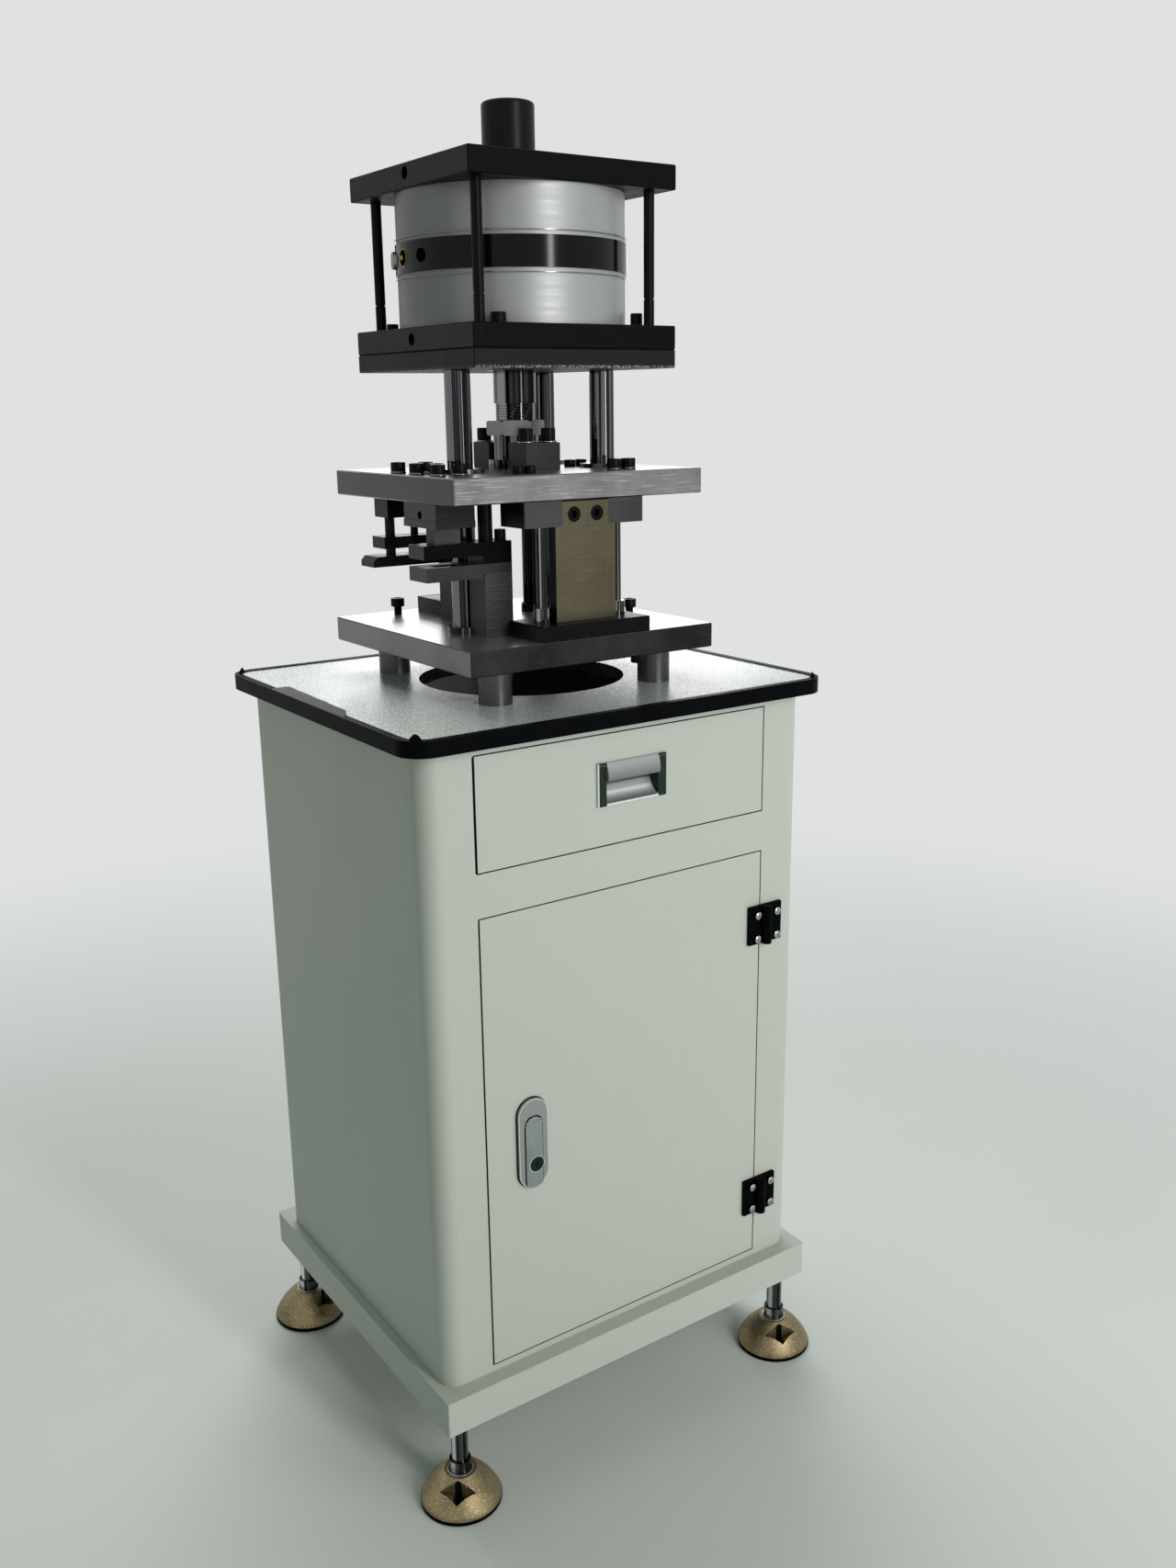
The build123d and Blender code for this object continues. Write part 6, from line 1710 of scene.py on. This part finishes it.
@dataclass
class DoorLock(SubAssembly):
    """Corners of the lever's recess with painted shadow lines, the plate's painted highlight rim and painted
    shadow ring, and the barrel's keyway painted dark as shade and its painted highlight ring.
    """

    slot_width: float = 1.6 * MM
    slot_height: float = 8.0 * MM
    slot_depth: float = 0.35 * MM
    ring_gap: float = 0.05 * MM
    ring_width: float = 0.7 * MM
    shadow_line_width: float = 1.0 * MM
    shadow_line_gap: float = 0.12 * MM
    shadow_line_depth: float = 0.2 * MM
    shadow_line_foot: float = 6.0 * MM
    corner_gap: float = 1.75 * MM
    corner_depth: float = 1.0 * MM
    corner_sunk: float = 0.93 * MM
    arc_steps: int = 18
    highlight_rim_width: float = 0.9 * MM
    highlight_rim_depth: float = 0.3 * MM
    shadow_ring_reach: float = 1.0 * MM
    shadow_ring_depth: float = 1.2 * MM
    behind_face: float = 0.2 * MM

    def build(self) -> None:
        """Add the recess's corners and painted shadow lines, the highlight rim, the shadow ring, the keyway
        shade and the barrel's highlight ring.
        """
        plate_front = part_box("lock_housing")[0].y
        self.recess(plate_front)
        self.rims(plate_front)
        self.barrel()

    def recess(self, plate_front: float) -> None:
        """Round the recess's upper corners and draw a painted shadow line on each side of the lever.

        Args:
            plate_front: Front of the plate.
        """
        low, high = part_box("lock_lever")
        middle = (low.x + high.x) / 2
        half = (high.x - low.x) / 2
        spring = high.z - half
        foot = low.z + self.shadow_line_foot
        # Painted shadow lines beside the lever.
        for side, name in ((-1, "left"), (1, "right")):
            near = middle + side * (half + self.shadow_line_gap)
            away = near + side * self.shadow_line_width
            outline = [(near, foot), (away, foot), (away, spring), (near, spring)]
            line = prism(outline if side > 0 else list(reversed(outline)), self.shadow_line_depth)
            self.make(f"lock_recess_line_{name}", upright(line, 0, plate_front - 0.02 * MM, 0), GASKET_AND_SHADE,
                      Body.DOOR, Slot.BLACK_EDGING)
        reach = half + self.corner_gap
        crown = spring + reach + 0.25 * MM
        wide = reach + 0.15 * MM
        angles = [math.pi * step / self.arc_steps for step in range(self.arc_steps + 1)]
        arch = [(middle + math.cos(angle) * reach, spring + math.sin(angle) * reach)
                for angle in reversed(angles)]
        corners_shape = prism([(middle + wide, spring), (middle + wide, crown), (middle - wide, crown),
                               (middle - wide, spring)] + arch, self.corner_depth)
        self.make("lock_recess_corners", upright(corners_shape, 0, plate_front + self.corner_sunk, 0), NICKEL,
                  Body.DOOR, Slot.SATIN_NICKEL)

    def rims(self, plate_front: float) -> None:
        """Bright rim on the plate as a painted highlight, and a dark ring behind it as painted shadow.

        Args:
            plate_front: Front of the plate.
        """
        low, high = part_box("lock_housing")
        panel_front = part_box("door_panel")[0].y
        x, z = (low.x + high.x) / 2, (low.z + high.z) / 2
        half_x, half_z = (high.x - low.x) / 2, (high.z - low.z) / 2
        inner = stadium(half_x - self.highlight_rim_width, half_z - self.highlight_rim_width)
        # Bright rim: a painted highlight on the plate's edge.
        rim = hoop(stadium(half_x - 0.05 * MM, half_z - 0.05 * MM), inner, self.highlight_rim_depth)
        self.make("lock_plate_rim", upright(rim, x, plate_front + self.behind_face, z), RIM_HIGHLIGHT, Body.DOOR,
                  Slot.SATIN_NICKEL)
        # Dark ring a little wider than the plate: painted shadow round its edge.
        gap_shade = hoop(stadium(half_x + self.shadow_ring_reach, half_z + self.shadow_ring_reach), inner, self.shadow_ring_depth)
        self.make("lock_plate_seal", upright(gap_shade, x, panel_front + self.behind_face, z), GASKET_AND_SHADE, Body.DOOR,
                  Slot.BLACK_EDGING)

    def barrel(self) -> None:
        """Keyway painted dark as shade, and a bright ring as a painted highlight, on the barrel's face."""
        low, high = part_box("lock_barrel")
        radius = (high.x - low.x) / 2
        place = ((low.x + high.x) / 2, low.y + 0.25 * MM, high.z - radius)
        r, w, h = radius + self.ring_gap, self.slot_width / 2, self.slot_height / 2
        outside = r + self.ring_width
        # Dark keyway shape: painted shade in the key slot.
        keyway = prism([(-w, -h), (w, -h), (w * 1.6, -h * 0.4), (w, 0.0), (w, h), (-w, h)], self.slot_depth)
        self.make("lock_keyway", upright(keyway, *place), GASKET_AND_SHADE, Body.LOCK, Slot.BLACK_EDGING)
        # Bright ring round the barrel: a painted highlight on its rim.
        ring = lathe(((r, -0.6 * MM), (outside, -0.6 * MM), (outside, 0.3 * MM), (r, 0.3 * MM)), segments=40)
        self.make("lock_barrel_ring", upright(ring, *place), RIM_HIGHLIGHT, Body.LOCK, Slot.SATIN_NICKEL)


@dataclass(frozen=True)
class Lamp:
    """Soft rectangular lamp that looks at a point."""

    name: str
    place: Triple
    aim: Triple
    size: tuple[float, float]
    power: float
    mirrored: bool = False

    def hang(self) -> None:
        """Put the lamp into the scene, unseen by the camera and mirrored only where wanted."""
        data = bpy.data.lights.new(self.name, "AREA")
        data.shape = "RECTANGLE"
        data.size, data.size_y = self.size
        data.energy = self.power
        lamp = linked(self.name, data)
        lamp.location = self.place
        lamp.visible_glossy = self.mirrored
        lamp.visible_camera = False
        direction = Vector(self.aim) - Vector(self.place)
        lamp.rotation_euler = direction.to_track_quat("-Z", "Y").to_euler()


LAMPS = (
    Lamp("key_strip", (0.32, -3.1, 1.75), (0.0, 0.0, 0.95), (0.26, 1.7), 38.0, mirrored=True),
    Lamp("key_soft", (1.2, -3.0, 2.2), (0.0, 0.0, 0.7), (2.2, 2.2), 24.6),
    Lamp("top_back", (0.5, 1.7, 3.3), (0.0, 0.0, 0.9), (2.4, 2.4), 84.0),
    Lamp("front_low", (1.1, -2.4, 0.35), (0.1, 0.0, 0.2), (1.6, 0.6), 14.5),
    Lamp("window", (2.1, 3.2, 1.75), (0.0, 0.0, 0.9), (1.7, 0.9), 11.0, mirrored=True),
)


class Studio:
    """Pale floor, soft lights and the camera."""

    position = Vector((-0.8743, -1.4046, 1.2170))
    yaw = 34.6
    pitch = -15.3
    roll = -0.7
    focal_pixels = 1526.4
    image_width = 1280.0
    sensor = 36.0
    surroundings: Triple = (0.74, 0.76, 0.75)
    sky: Triple = (0.71, 1.0, 0.775)
    sky_strength = 0.206
    ground_size = 60.0
    ground: tuple[Triple, Triple] = ((0.6, 0.61, 0.6), (0.64, 0.65, 0.64))
    ground_roughness = 0.7
    fade = (0.75, 2.6)

    def build(self) -> None:
        """Set the stage, the lamps, the world and the camera."""
        bpy.context.scene.view_settings.view_transform = "Standard"
        self.floor()
        self.world()
        for lamp in LAMPS:
            lamp.hang()
        self.camera()

    def floor(self) -> None:
        """Large pale floor that fades into the surroundings far from the machine."""
        bpy.ops.mesh.primitive_plane_add(size=self.ground_size, location=(0, 0, 0))
        floor = bpy.context.object
        floor.name = "studio_floor"
        graph = NodeGraph("studio_floor")
        graph.put("Base Color", graph.blend(graph.noise(graph.mapped(), 2.0), *self.ground))
        graph.put("Roughness", self.ground_roughness)
        distance = graph.node("ShaderNodeVectorMath", {0: graph.coordinates}, operation="LENGTH")
        near, far = self.fade
        fade = graph.node("ShaderNodeMapRange", {"From Min": near, "From Max": far,
                                                 "Value": distance.outputs["Value"]},
                          interpolation_type="SMOOTHSTEP")
        glow = graph.node("ShaderNodeEmission", {"Color": self.surroundings})
        far_off = self.seen(graph.tree, fade.outputs["Result"])
        mix = graph.node("ShaderNodeMixShader",
                         {0: far_off, 1: graph.surface.outputs["BSDF"], 2: glow.outputs["Emission"]})
        feed(graph.output.inputs["Surface"], mix.outputs["Shader"])
        floor.data.materials.append(graph.material)

    def seen(self, tree: bpy.types.NodeTree,
             factor: bpy.types.NodeSocket | None = None) -> bpy.types.NodeSocket:
        """One for rays that show the background: straight ones, mirrored ones and ones through glass.

        Args:
            tree: Tree that gets the nodes.
            factor: Value that the result is multiplied by.

        Returns:
            The result.
        """
        path = add_node(tree, "ShaderNodeLightPath")
        total = path.outputs["Is Camera Ray"]
        for name in ("Is Glossy Ray", "Is Transmission Ray"):
            either = {0: total, 1: path.outputs[name]}
            total = add_node(tree, "ShaderNodeMath", either, operation="MAXIMUM").outputs["Value"]
        if factor is None:
            return total
        return add_node(tree, "ShaderNodeMath", {0: total, 1: factor}, operation="MULTIPLY").outputs["Value"]

    def world(self) -> None:
        """Even pale surroundings: seen and mirrored at one strength, lighting the machine at another."""
        world = bpy.data.worlds.new("studio")
        world.use_nodes = True
        tree = world.node_tree
        tree.nodes.clear()
        light = add_node(tree, "ShaderNodeBackground", {"Color": self.sky, "Strength": self.sky_strength})
        view = add_node(tree, "ShaderNodeBackground", {"Color": self.surroundings, "Strength": 1.0})
        shaders = {0: self.seen(tree), 1: light.outputs[0], 2: view.outputs[0]}
        mix = add_node(tree, "ShaderNodeMixShader", shaders)
        add_node(tree, "ShaderNodeOutputWorld", {"Surface": mix.outputs[0]})
        bpy.context.scene.world = world

    def camera(self) -> None:
        """Camera at the photograph's place, direction and field of view."""
        data = bpy.data.cameras.new("view")
        data.sensor_fit = "HORIZONTAL"
        data.sensor_width = self.sensor
        data.lens = self.focal_pixels * self.sensor / self.image_width
        camera = linked("view", data)
        yaw, pitch, roll = (math.radians(angle) for angle in (self.yaw, self.pitch, self.roll))
        forward = Vector((math.sin(yaw) * math.cos(pitch), math.cos(yaw) * math.cos(pitch), math.sin(pitch)))
        right = Vector((math.cos(yaw), -math.sin(yaw), 0.0))
        up = right.cross(forward)
        across = math.cos(roll) * right + math.sin(roll) * up
        above = -math.sin(roll) * right + math.cos(roll) * up
        turn = Matrix((across, above, -forward)).transposed()
        camera.matrix_world = Matrix.Translation(self.position) @ turn.to_4x4()
        bpy.context.scene.camera = camera


def dress_nodes() -> None:
    """Give every CAD node the finish of its slot or its own."""
    slots = {part["node"]: Slot(part["material_slot"]) for part in frame["record"]["subparts"]}
    for name, node in frame["nodes"].items():
        finish = NODE_FINISHES.get(name, SLOT_FINISHES[slots[name]])
        node.data.materials.clear()
        if isinstance(finish, ChippedBlack):
            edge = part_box(name)[0].z
            finish = replace(finish, edge_low=edge, edge_high=edge + finish.chipped_height)
        elif isinstance(finish, PullPaintedLight):
            finish = replace(finish, low=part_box(name)[0].z, high=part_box(name)[1].z)
        node.data.materials.append(finish.material())
        log.info("%s is finished in %s", name, finish.name)


def corners(box: Iterable[Vector]) -> list[list[float]]:
    """Plain numbers of a box's two corners."""
    return [[round(value, 5) for value in corner] for corner in box]


def main() -> None:
    """Build the machine's looks in order."""
    logging.basicConfig(level=logging.INFO)
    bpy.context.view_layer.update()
    Studio().build()
    dress_nodes()
    for part in (Stand(), Coupling(), RingPlug(), WorktopEdge(), DrawerPull(), PanelGapShade(), DoorLock(),
                 Fasteners()):
        part.build()


if __name__ == "__main__":
    main()
